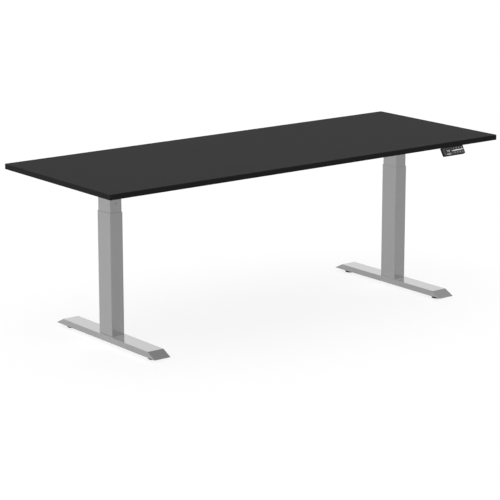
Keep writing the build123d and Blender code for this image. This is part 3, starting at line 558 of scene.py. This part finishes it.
def turned(bm, rings, place):
    """Joins rings of (shape, radius, height) into a closed form about the place's Z axis."""
    angles = [2 * math.pi * k / TURNED_SIDES for k in range(TURNED_SIDES)]
    made = []
    for shape, radius, height in rings:
        far = [radius * reach(shape, angle) for angle in angles]
        spots = [(r * math.cos(angle), r * math.sin(angle), height) for r, angle in zip(far, angles)]
        made.append([bm.verts.new(place @ Vector(spot)) for spot in spots])
    for lower, upper in zip(made, made[1:]):
        bridge(bm, lower, upper)
    bm.faces.new(made[0])
    bm.faces.new(made[-1])


# Recess and crown as rings, by shares of their radius and the head's height; shank by its taper and tip
BOLT = {
    "recess": (("hex", 0.96, 0.30), ("hex", 1.0, 0.93), ("hex", 1.06, 1.0)),
    "crown": ((0.76, 1.0), (0.91, 0.88), (1.0, 0.58)),
    "shank": (0.1, 0.9),
}
WOOD_SCREW = {
    "recess": (("cross", 0.25, 0.30), ("cross", 0.90, 0.88), ("cross", 1.0, 1.0)),
    "crown": ((0.80, 1.0), (0.94, 0.84), (1.0, 0.50)),
    "shank": (2.5, 0.05),
}


def fastener_rings(kind, head_r, head, shank_r, shank, width):
    """Head with a recess of that share of its width, on a shank. Height 0 is the seat."""
    rings = [(shape, share * width * head_r, height * head) for shape, share, height in kind["recess"]]
    rings += [("round", share * head_r, height * head) for share, height in kind["crown"]]
    taper, tip = (share * shank_r for share in kind["shank"])
    sides = ((head_r, 0.0), (shank_r, 0.0), (shank_r, taper - shank), (tip, -shank))
    return rings + [("round", radius, height) for radius, height in sides]


# Outer radius of each groove in a sole, and a groove's width and slope, as shares of the pad's radius
SOLE_GROOVES = (0.84, 0.60, 0.36)
GROOVE_WIDTH = 0.12
GROOVE_SLOPE = 0.02
# Radius of a thread's root, as a share of its crest's
THREAD_ROOT = 0.85


def pad_rings(radius, details):
    """Pad with a rounded shoulder, a ribbed rim and grooves in its sole. Height 0 is the floor."""
    tall, shoulder, chamfer = details.pad_height, details.pad_round, details.pad_chamfer
    rings = [("round", details.stud, tall)]
    for degrees in (0, 30, 60):
        lean = math.radians(degrees)
        inset, drop = shoulder * (1 - math.sin(lean)), shoulder * (1 - math.cos(lean))
        rings.append(("round", radius - inset, tall - drop))
    rings += [("ribs", radius, tall - shoulder), ("ribs", radius, chamfer)]
    rings.append(("round", radius - chamfer, 0.0))
    deep = details.pad_groove
    steps = ((0.0, 0.0), (GROOVE_SLOPE, deep), (GROOVE_WIDTH - GROOVE_SLOPE, deep), (GROOVE_WIDTH, 0.0))
    for share in SOLE_GROOVES:
        rings += [("round", (share - step) * radius, height) for step, height in steps]
    return rings


def stud_rings(tall, details):
    """Stud with the ridges of its thread, on the hexagon that a spanner turns. Height 0 is the floor."""
    flat, crest, pitch = details.stud_hex / 2, details.stud, details.stud_pitch
    root = THREAD_ROOT * crest
    low = details.pad_height
    high = low + details.stud_hex_height
    rings = [
        ("hex", flat, low - pitch),
        ("hex", flat, high - 0.1 * flat),
        ("round", 0.95 * flat, high),
        ("round", root, high),
    ]
    for k in range(int((tall - high) / pitch - 0.5)):
        rings += [("round", root, high + (k + 0.5) * pitch), ("round", crest, high + (k + 1.0) * pitch)]
    return rings + [("round", root, tall)]


def dress_leveller(side, end, details, moulding, zinc):
    """Replaces a leveller by a pad with a ribbed rim, and a threaded stud that stands in it."""
    node, body = f"{side}_{end}_leveller", f"{side}_{end}_pad"
    low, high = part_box(node)
    place = Matrix.Translation(((low.x + high.x) / 2, (low.y + high.y) / 2, low.z))
    form = bmesh.new()
    turned(form, pad_rings((high.x - low.x) / 2, details), place)
    pad = new_piece(f"{node}_pad", form, moulding, body)
    smooth(pad)
    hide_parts(node)
    form = bmesh.new()
    turned(form, stud_rings(high.z - low.z, details), place)
    smooth(new_piece(f"{node}_stud", form, zinc, body))


def seat(low, high, outward, head):
    """Frame on a fastener's seat: Z runs outwards through its head, which is that tall."""
    middle, half = (low + high) / 2, (high - low) / 2
    tip = middle + outward * abs(half.dot(outward))
    turn_to = outward.to_track_quat("Z", "Y").to_matrix().to_4x4()
    return Matrix.Translation(tip - outward * head) @ turn_to


def away(middle, along):
    """Outwards from the desk's middle along one axis."""
    way = Vector((0, 0, 0))
    way[along] = math.copysign(1.0, middle[along])
    return way


def dress_fasteners(node, body, kind, head, shank_r, width, material, outward=None):
    """Replaces every fastener of a CAD node by a detailed one on the same seat."""
    bm = bmesh.new()
    for low, high in islands(node):
        extent = high - low
        across = sorted(extent)[1]
        along = max(range(3), key=lambda axis: abs(extent[axis] - across))
        out = outward or away((low + high) / 2, along)
        rings = fastener_rings(kind, across / 2, head, shank_r, extent[along] - head, width)
        turned(bm, rings, seat(low, high, out, head))
    piece = new_piece(f"{node}_detailed", bm, material, body)
    smooth(piece)
    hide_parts(node)


def perimeter(low, high, radius, step):
    """Points round a rounded rectangle at the high corner's height, each with its outward direction."""
    middle, half = (low + high) / 2, (high - low) / 2
    stops = []
    for k, (sx, sy) in enumerate(((1, 1), (-1, 1), (-1, -1), (1, -1))):
        hub = Vector((middle.x + sx * (half.x - radius), middle.y + sy * (half.y - radius), high.z))
        for degrees in range(90 * k, 90 * k + 91, ARC_STEP):
            angle = math.radians(degrees)
            out = Vector((math.cos(angle), math.sin(angle), 0))
            stops.append((hub + radius * out, out))
    points = []
    for (here, out), (there, _) in zip(stops, stops[1:] + stops[:1]):
        parts = max(1, round((there - here).length / step))
        points += [(here.lerp(there, k / parts), out) for k in range(parts)]
    return points


WELD_SIDES = 10
RIPPLE_STEPS = 5
RIPPLE_DEPTH = 0.12


def weld_bead(side, details, material):
    """Rippled weld round the top of an inner tube, under its motor channel."""
    low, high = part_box(f"{side}_inner_tube")
    path = perimeter(low, high, details.bead, details.bead_pitch / RIPPLE_STEPS)
    bm = bmesh.new()
    rings = []
    for k, (point, out) in enumerate(path):
        ripple = math.cos(2 * math.pi * k / RIPPLE_STEPS)
        swell = details.bead * (1 - RIPPLE_DEPTH + RIPPLE_DEPTH * ripple)
        rings.append([bm.verts.new(point + u * out + v * UP) for u, v in circle(swell, WELD_SIDES)])
    for here, there in zip(rings, rings[1:] + rings[:1]):
        bridge(bm, here, there)
    smooth(new_piece(f"{side}_weld_bead", bm, material, "top"))


# Marks on the handset


def face_frame(node):
    """Frame on a handset piece's outer face: X along the desk, Y up the face, Z outwards."""
    across = Vector((1, 0, 0))
    rise = HANDSET_NORMAL.cross(across)
    spots = [vert.co for vert in frame["nodes"][node].data.vertices]
    origin = max(spot.dot(HANDSET_NORMAL) for spot in spots) * HANDSET_NORMAL
    for way in (across, rise):
        reached = [spot.dot(way) for spot in spots]
        origin += (min(reached) + max(reached)) / 2 * way
    columns = (across, rise, HANDSET_NORMAL, origin)
    return Matrix([*zip(*columns), (0, 0, 0, 1)])


def printed(name, place, ink, material, body, slot, outlines=(), strips=()):
    """A thin mark on a face, from flat outlines and from strips between two lines of points."""
    bm = bmesh.new()

    def rise(points, height):
        return [bm.verts.new(place @ Vector((u, v, height))) for u, v in points]

    for outline in outlines:
        under, over = rise(outline, -ink), rise(outline, ink)
        bm.faces.new(over)
        bm.faces.new(under)
        bridge(bm, under, over)
    for left, right, closed in strips:
        sections = list(zip(rise(left, -ink), rise(right, -ink), rise(right, ink), rise(left, ink)))
        for here, there in zip(sections, sections[1:]):
            bridge(bm, here, there)
        if closed:
            bridge(bm, sections[-1], sections[0])
        else:
            bm.faces.new(sections[0])
            bm.faces.new(sections[-1])
    new_piece(name, bm, material, body)


# A segment's half width as a share of the digit's height, and the gap at its ends as a share of that
SEGMENT_WIDTH = 1 / 13
SEGMENT_GAP = 0.3
SEGMENT_ENDS = {
    "a": ((0, 2), (1, 2)),
    "b": ((1, 2), (1, 1)),
    "c": ((1, 1), (1, 0)),
    "d": ((0, 0), (1, 0)),
    "e": ((0, 1), (0, 0)),
    "f": ((0, 2), (0, 1)),
    "g": ((0, 1), (1, 1)),
}
# Lit segments of the digits 0 to 9
LIT_SEGMENTS = "abcdef bc abged abgcd fgbc afgcd afgedc abc abcdefg abcdfg".split()


def digit_outlines(text, height, pitch, slant, middle):
    """Bars of a row of seven segment digits, centred on a point."""
    bar, half = SEGMENT_WIDTH * height, height / 2
    gap = SEGMENT_GAP * bar
    tip = gap + bar
    lean = math.tan(slant)
    bars = []
    for place, digit in enumerate(text):
        left = middle[0] + (place - (len(text) - 1) / 2) * pitch - half / 2
        for name in LIT_SEGMENTS[int(digit)]:
            one, other = (Vector(end) * half for end in SEGMENT_ENDS[name])
            along = (other - one).normalized()
            aside = bar * Vector((-along.y, along.x))
            corners = (
                one + gap * along,
                one + tip * along + aside,
                other - tip * along + aside,
                other - gap * along,
                other - tip * along - aside,
                one + tip * along - aside,
            )
            bars.append([(left + c.x + (c.y - half) * lean, middle[1] + c.y - half) for c in corners])
    return bars


WAVE_STEPS = 60
# Width of the wave line at its ends, as a share of that at its middle, and how soon it swells
WAVE_TIP = 0.4
WAVE_SWELL = 0.6


def wave_edges(left, right, middle, trough, details):
    """Upper and lower edge of the line that waves between the rows of keys."""
    upper, lower = [], []
    for k in range(WAVE_STEPS + 1):
        share = k / WAVE_STEPS
        u = left + share * (right - left)
        swing = details.wave * math.cos(2 * math.pi * (u - trough) / details.wave_length)
        v = middle + details.wave_rise * share - swing
        swell = math.sin(math.pi * share) ** WAVE_SWELL
        half = details.wave_line * (WAVE_TIP + (1 - WAVE_TIP) * swell) / 2
        upper.append((u, v + half))
        lower.append((u, v - half))
    return upper, lower


def round_ended(straight, height, middle):
    """Outline of a level bar with round ends, whose straight part has that length."""
    points = []
    for side, start in ((1, -90), (-1, 90)):
        for degrees in range(start, start + 181, ARC_STEP):
            angle = math.radians(degrees)
            u = side * straight / 2 + height / 2 * math.cos(angle)
            points.append((middle[0] + u, middle[1] + height / 2 * math.sin(angle)))
    return points


# Numerals and signs of the keys, with sizes as shares of the legend's height
KEY_NUMERALS = {"key_one": "1", "key_two": "2", "key_three": "3", "key_four": "4"}
NUMERAL_SIZE = 1.3
NUMERAL_BOLD = 0.03
KEY_RING = (0.66, 0.60)
MEMORY_DOT = 0.20
ARROW = ((-0.28, -0.16), (0.28, -0.16), (0.0, 0.30))
CLOCK_HANDS = ((-0.06, -0.10), (0.34, -0.10), (0.34, 0.02), (0.06, 0.02), (0.06, 0.46), (-0.06, 0.46))
KEY_SIGNS = {
    "key_up": ARROW,
    "key_down": [(-u, -v) for u, v in ARROW],
    "key_memory": circle(MEMORY_DOT),
    "key_reminder": CLOCK_HANDS,
}


def numeral(name, text, size, place, ink, material, body, slot):
    """A printed numeral, cut from the built in typeface."""
    curve = bpy.data.curves.new(name, "FONT")
    curve.body = text
    curve.size = size
    curve.offset = NUMERAL_BOLD * size
    curve.align_x = curve.align_y = "CENTER"
    curve.extrude = ink
    holder = bpy.data.objects.new(name, curve)
    bm = bmesh.new()
    bm.from_mesh(holder.to_mesh())
    bpy.data.objects.remove(holder)
    bmesh.ops.remove_doubles(bm, verts=bm.verts, dist=MERGE_GAP)
    bmesh.ops.transform(bm, matrix=place, verts=bm.verts)
    new_piece(name, bm, material, body)


# Contacts in the control box's sockets

# Where they stand, as shares of a socket's width and height from its middle
MAINS_PINS = ((-0.30, -0.10), (0.30, -0.10), (0.0, 0.25))
PORT_PINS = ((-0.22, -0.2), (0.22, -0.2), (-0.22, 0.2), (0.22, 0.2))
SOCKET_PINS = {"mains_inlet": MAINS_PINS, "left_motor_port": PORT_PINS, "right_motor_port": PORT_PINS}
# A contact's length, width and height, as shares of its socket's
PIN_SHARES = (0.7, 0.1, 0.24)
PIN_ROOT = 0.5 * MM
PIN_EASE = 0.35
PIN_EASE_STEPS = 3


def contact_blade(bm, root, out, width, height):
    """A flat contact with eased ends, that stands out of a socket's floor along X."""
    made = bmesh.ops.create_cube(bm, size=1.0)["verts"]
    middle = root + Vector((out / 2, 0, 0))
    bmesh.ops.scale(bm, vec=(out, width, height), verts=made)
    bmesh.ops.translate(bm, vec=middle, verts=made)
    outer = [vert for vert in made if vert.co.x > middle.x]
    edges = [edge for edge in bm.edges if all(vert in outer for vert in edge.verts)]
    ease = PIN_EASE * min(width, height)
    bmesh.ops.bevel(bm, geom=edges, offset=ease, segments=PIN_EASE_STEPS, affect="EDGES")


# Operators, one for each piece or group of like pieces


def chosen(context):
    """The finishes and details that the user has set."""
    return context.scene.desk_finishes, context.scene.desk_details


class DESK_OT_surface_effects(bpy.types.Operator):
    """Build the shared surface effects that the finishes use"""

    bl_idname = "desk.surface_effects"
    bl_label = "Surface Effects"

    def execute(self, context):
        for build in (build_grain, build_edges, build_lines, build_thread):
            build()
        return {"FINISHED"}


class DESK_OT_desktop(bpy.types.Operator):
    """Finish the board and the band round it"""

    bl_idname = "desk.desktop"
    bl_label = "Desktop"

    def execute(self, context):
        finishes, details = chosen(context)
        board = {"roughness": 0.58, "grain": 1400.0, "depth": 0.06 * MM, "specular": 0.015}
        assign("desktop_board", grained("black_board", finishes.board, details.edge_round, **board))
        assign("edge_band", banded_edge(finishes, details))
        return {"FINISHED"}


class DESK_OT_frame(bpy.types.Operator):
    """Lacquer the feet, columns and frame, and weld the inner tubes to their channels"""

    bl_idname = "desk.frame"
    bl_label = "Painted Frame"

    def execute(self, context):
        finishes, details = chosen(context)
        paint = metallic_lacquer(finishes, details)
        assign("frame_paint", paint)
        for side in SIDES:
            weld_bead(side, details, paint)
        return {"FINISHED"}


class DESK_OT_drive(bpy.types.Operator):
    """Finish the screws, shafts, carriers, glides, gearboxes and motors"""

    bl_idname = "desk.drive"
    bl_label = "Lifting Drive"

    def execute(self, context):
        finishes, details = chosen(context)
        ease = details.edge_round
        assign("steel", drawn_metal("bright_steel", finishes.steel, ease, roughness=0.32))
        cut = {"roughness": 0.3, "thread": details.screw_pitch}
        threaded = drawn_metal("threaded_steel", finishes.steel, ease, **cut)
        for side in SIDES:
            for screw in ("fixed_screw", "hollow_screw"):
                frame["nodes"][f"{side}_{screw}"].material_slots[0].material = threaded
        alloy = {"roughness": 0.42, "grain": 520.0, "depth": 0.12 * MM, "metallic": 1.0, "vary": 0.08}
        assign("cast_alloy", grained("alloy_casting", finishes.alloy, ease, **alloy))
        can = {"roughness": 0.4, "grain": 1100.0, "depth": 0.04 * MM, "vary": 0.06, "wear": 0.1}
        assign("motor_can", grained("motor_paint", finishes.motor, ease, **can))
        glide = {"roughness": 0.45, "grain": 1600.0, "depth": 0.03 * MM, "vary": 0.08}
        assign("glide_plastic", grained("glide_plastic_moulded", finishes.glide, ease, **glide))
        return {"FINISHED"}


class DESK_OT_levellers(bpy.types.Operator):
    """Give the levellers their ribbed pads and threaded studs"""

    bl_idname = "desk.levellers"
    bl_label = "Levellers"

    def execute(self, context):
        finishes, details = chosen(context)
        black = {"roughness": 0.5, "grain": 1200.0, "depth": 0.06 * MM, "specular": 0.08, "wear": 0.15}
        pad = grained("pad_moulding", finishes.pad, details.edge_round, **black)
        assign("pad_plastic", pad)
        zinc = drawn_metal("stud_zinc", finishes.fastener, details.fine_round, roughness=0.34)
        for side in SIDES:
            for end in ENDS:
                dress_leveller(side, end, details, pad, zinc)
        return {"FINISHED"}


class DESK_OT_fasteners(bpy.types.Operator):
    """Give the bolts their hexagonal sockets and the wood screws their cross recesses"""

    bl_idname = "desk.fasteners"
    bl_label = "Fasteners"

    def execute(self, context):
        finishes, details = chosen(context)
        zinc = drawn_metal("zinc_plate", finishes.fastener, details.zinc_round, roughness=0.34)
        assign("fastener_steel", zinc)
        bolt = (details.bolt_head, details.bolt_shank, details.hex_share)
        dress_fasteners("frame_bolts", "top", BOLT, *bolt, zinc)
        screw = (details.screw_head, details.screw_shank, details.cross_share)
        dress_fasteners("desktop_screws", "top", WOOD_SCREW, *screw, zinc, outward=-UP)
        base = (details.base_head, details.base_shank, details.hex_share)
        for side in SIDES:
            dress_fasteners(f"{side}_base_bolts", f"{side}_base", BOLT, *base, zinc, outward=-UP)
        return {"FINISHED"}


class DESK_OT_control_box(bpy.types.Operator):
    """Finish the control box and put the contacts into its sockets"""

    bl_idname = "desk.control_box"
    bl_label = "Control Box"

    def execute(self, context):
        finishes, details = chosen(context)
        box = {"roughness": 0.5, "grain": 1500.0, "depth": 0.08 * MM, "vary": 0.06}
        assign("box_plastic", grained("box_moulding", finishes.box, details.edge_round, **box))
        sockets = {hole["name"]: hole["box_m"] for hole in frame["record"]["physics"]["openings"]}
        bm = bmesh.new()
        for name, spots in SOCKET_PINS.items():
            low, high = (Vector(corner) for corner in sockets[name])
            size = high - low
            blade = [share * extent for share, extent in zip(PIN_SHARES, size)]
            for across, up in spots:
                root = (low + high) / 2 + Vector((0, across * size.y, up * size.z))
                root.x = low.x - PIN_ROOT
                contact_blade(bm, root, *blade)
        plated = drawn_metal("plated_contact", finishes.contact, details.fine_round, roughness=0.28)
        smooth(new_piece("socket_contacts", bm, plated, "top"))
        return {"FINISHED"}


class DESK_OT_handset(bpy.types.Operator):
    """Finish the handset, light its digits and print its marks"""

    bl_idname = "desk.handset"
    bl_label = "Handset"

    def execute(self, context):
        finishes, details = chosen(context)
        for slot, name, rgb, roughness, grain, depth, specular in (
            ("handset_plastic", "handset_moulding", finishes.housing, 0.5, 1800.0, 0.06, 0.1),
            ("fascia_plastic", "gloss_fascia", finishes.fascia, 0.28, 2600.0, 0.01, 0.5),
            ("key_plastic", "soft_keys", finishes.key, 0.6, 2400.0, 0.04, 0.2),
            ("display_window", "smoked_window", finishes.window, 0.16, 900.0, 0.005, 0.5),
        ):
            assign(slot, grained(name, rgb, details.small_round, roughness, grain, depth * MM, specular))
        assign("circuit_board", traced_board(finishes))
        ink = printed_ink(finishes)
        self.light_digits(details, lit_segment(finishes))
        self.print_fascia(details, ink)
        self.print_keys(details, ink)
        return {"FINISHED"}

    def light_digits(self, details, lit):
        window = face_frame("handset_display")
        size = (details.digit_height, details.digit_pitch, details.digit_slant)
        bars = digit_outlines(details.reading, *size, (details.digit_shift, -details.digit_drop))
        printed("display_digits", window, details.ink, lit, "top", "display_window", outlines=bars)

    def print_fascia(self, details, ink):
        face = face_frame("handset_fascia")
        marked = ("handset_display", "key_one", "key_up")
        display, above, below = (face.inverted() @ face_frame(name).translation for name in marked)
        low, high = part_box("handset_fascia")
        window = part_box("handset_display")
        half = (high.x - low.x) / 2
        left, right = window[1].x - low.x - half + details.wave_gap, half - details.wave_margin
        wave = wave_edges(left, right, (above.y + below.y) / 2, above.x, details)
        under = (display.x, display.y - details.bar_drop)
        bar = round_ended(details.bar_width, details.bar_height, under)
        mark = (face, details.ink, ink, "top", "fascia_plastic")
        printed("fascia_wave_line", *mark, strips=[(*wave, False)])
        printed("fascia_status_bar", *mark, outlines=[bar])

    def print_keys(self, details, ink):
        tall = details.legend
        for key, text in KEY_NUMERALS.items():
            mark = (face_frame(key), details.ink, ink, key, "key_plastic")
            numeral(f"{key}_numeral", text, NUMERAL_SIZE * tall, *mark)
        outer, inner = (circle(share * tall) for share in KEY_RING)
        for key, sign in KEY_SIGNS.items():
            mark = (face_frame(key), details.ink, ink, key, "key_plastic")
            outline = [(u * tall, v * tall) for u, v in sign]
            printed(f"{key}_sign", *mark, outlines=[outline], strips=[(outer, inner, True)])


class DESK_OT_stage(bpy.types.Operator):
    """Set the floor, the light and the camera"""

    bl_idname = "desk.stage"
    bl_label = "Floor, Light and Camera"

    def execute(self, context):
        stage = context.scene.desk_stage
        context.scene.view_settings.view_transform = "Standard"
        self.lay_floor(stage)
        self.light_world(context.scene, stage)
        self.hang_key(stage)
        self.set_camera(context.scene, stage)
        return {"FINISHED"}

    def seen(self, sheet):
        """1 for rays straight from the camera, and 1 for rays that are mirrored or go through glass."""
        path = sheet.node("ShaderNodeLightPath").outputs
        mirrored = sheet.math("MAXIMUM", path["Is Glossy Ray"], path["Is Transmission Ray"])
        return path["Is Camera Ray"], mirrored

    def lay_floor(self, stage):
        material = bpy.data.materials.new("pale_floor")
        material.use_nodes = True
        sheet = Sheet(material.node_tree)
        material.node_tree.nodes.remove(material.node_tree.nodes["Principled BSDF"])
        shown = sheet.node("ShaderNodeBsdfDiffuse", Color=colour((stage.floor_seen,) * 3))
        bounced = sheet.node("ShaderNodeBsdfDiffuse", Color=colour((stage.floor_bounce,) * 3))
        blend = sheet.node("ShaderNodeMixShader", Fac=sheet.math("MAXIMUM", *self.seen(sheet)))
        sheet.feed(blend.inputs[1], bounced.outputs["BSDF"])
        sheet.feed(blend.inputs[2], shown.outputs["BSDF"])
        sheet.join(material.node_tree.nodes["Material Output"], Surface=blend.outputs["Shader"])
        bm = bmesh.new()
        bmesh.ops.create_grid(bm, x_segments=4, y_segments=4, size=stage.floor_size / 2)
        floor = formed("pale_floor", bm, material)

    def light_world(self, scene, stage):
        world = bpy.data.worlds.new("studio")
        world.use_nodes = True
        scene.world = world
        sheet = Sheet(world.node_tree)
        towards = sheet.node("ShaderNodeTexCoord").outputs["Generated"]
        height = sheet.node("ShaderNodeSeparateXYZ", Vector=towards).outputs["Z"]
        low, high = math.sin(stage.sky_low), math.sin(stage.sky_high)
        reflected = sheet.spread(height, low, high, 1.0, stage.sky_seen)
        straight, mirrored = self.seen(sheet)
        cast = sheet.spread(mirrored, 0.0, 1.0, stage.sky, reflected)
        strength = sheet.spread(straight, 0.0, 1.0, cast, 1.0)
        sheet.join(world.node_tree.nodes["Background"], Color=colour((1.0,) * 3), Strength=strength)

    def hang_key(self, stage):
        lamp = bpy.data.lights.new("soft_key", "SUN")
        to_lamp = Vector((-stage.key_left, -stage.key_front, stage.key_top))
        lamp.energy = to_lamp.length * math.pi
        lamp.angle = stage.softness
        lamp.use_shadow = False
        hung = put("soft_key", lamp)
        hung.rotation_euler = to_lamp.to_track_quat("Z", "Y").to_euler()

    def set_camera(self, scene, stage):
        data = bpy.data.cameras.new("camera")
        data.lens = stage.lens
        camera = put("camera", data)
        camera.location = stage.camera_at
        camera.rotation_euler = (math.pi / 2 - stage.pitch, 0.0, -stage.yaw)
        scene.camera = camera


OPERATORS = (
    DESK_OT_surface_effects,
    DESK_OT_desktop,
    DESK_OT_frame,
    DESK_OT_drive,
    DESK_OT_levellers,
    DESK_OT_fasteners,
    DESK_OT_control_box,
    DESK_OT_handset,
    DESK_OT_stage,
)
SETTINGS = (("desk_finishes", DeskFinishes), ("desk_details", DeskDetails), ("desk_stage", DeskStage))


class DESK_PT_sidebar(bpy.types.Panel):
    """The desk's operators and the values that they use"""

    bl_idname = "DESK_PT_sidebar"
    bl_label = "Height Adjustable Desk"
    bl_space_type = "VIEW_3D"
    bl_region_type = "UI"
    bl_category = "Desk"

    def draw(self, context):
        steps = self.layout.column(align=True)
        for operator in OPERATORS:
            steps.operator(operator.bl_idname)
        for name, kind in SETTINGS:
            values = self.layout.box()
            values.label(text=kind.__doc__)
            for label in kind.__annotations__:
                values.prop(getattr(context.scene, name), label)


CLASSES = tuple(kind for _, kind in SETTINGS) + OPERATORS + (DESK_PT_sidebar,)


def register():
    for kind in CLASSES:
        bpy.utils.register_class(kind)
    for name, kind in SETTINGS:
        setattr(bpy.types.Scene, name, PointerProperty(type=kind))


def unregister():
    for name, _ in SETTINGS:
        delattr(bpy.types.Scene, name)
    for kind in reversed(CLASSES):
        bpy.utils.unregister_class(kind)


def main():
    register()
    bpy.ops.desk.surface_effects()
    bpy.ops.desk.desktop()
    bpy.ops.desk.frame()
    bpy.ops.desk.drive()
    bpy.ops.desk.levellers()
    bpy.ops.desk.fasteners()
    bpy.ops.desk.control_box()
    bpy.ops.desk.handset()
    bpy.ops.desk.stage()
    bpy.context.view_layer.update()


if __name__ == "__main__":
    main()
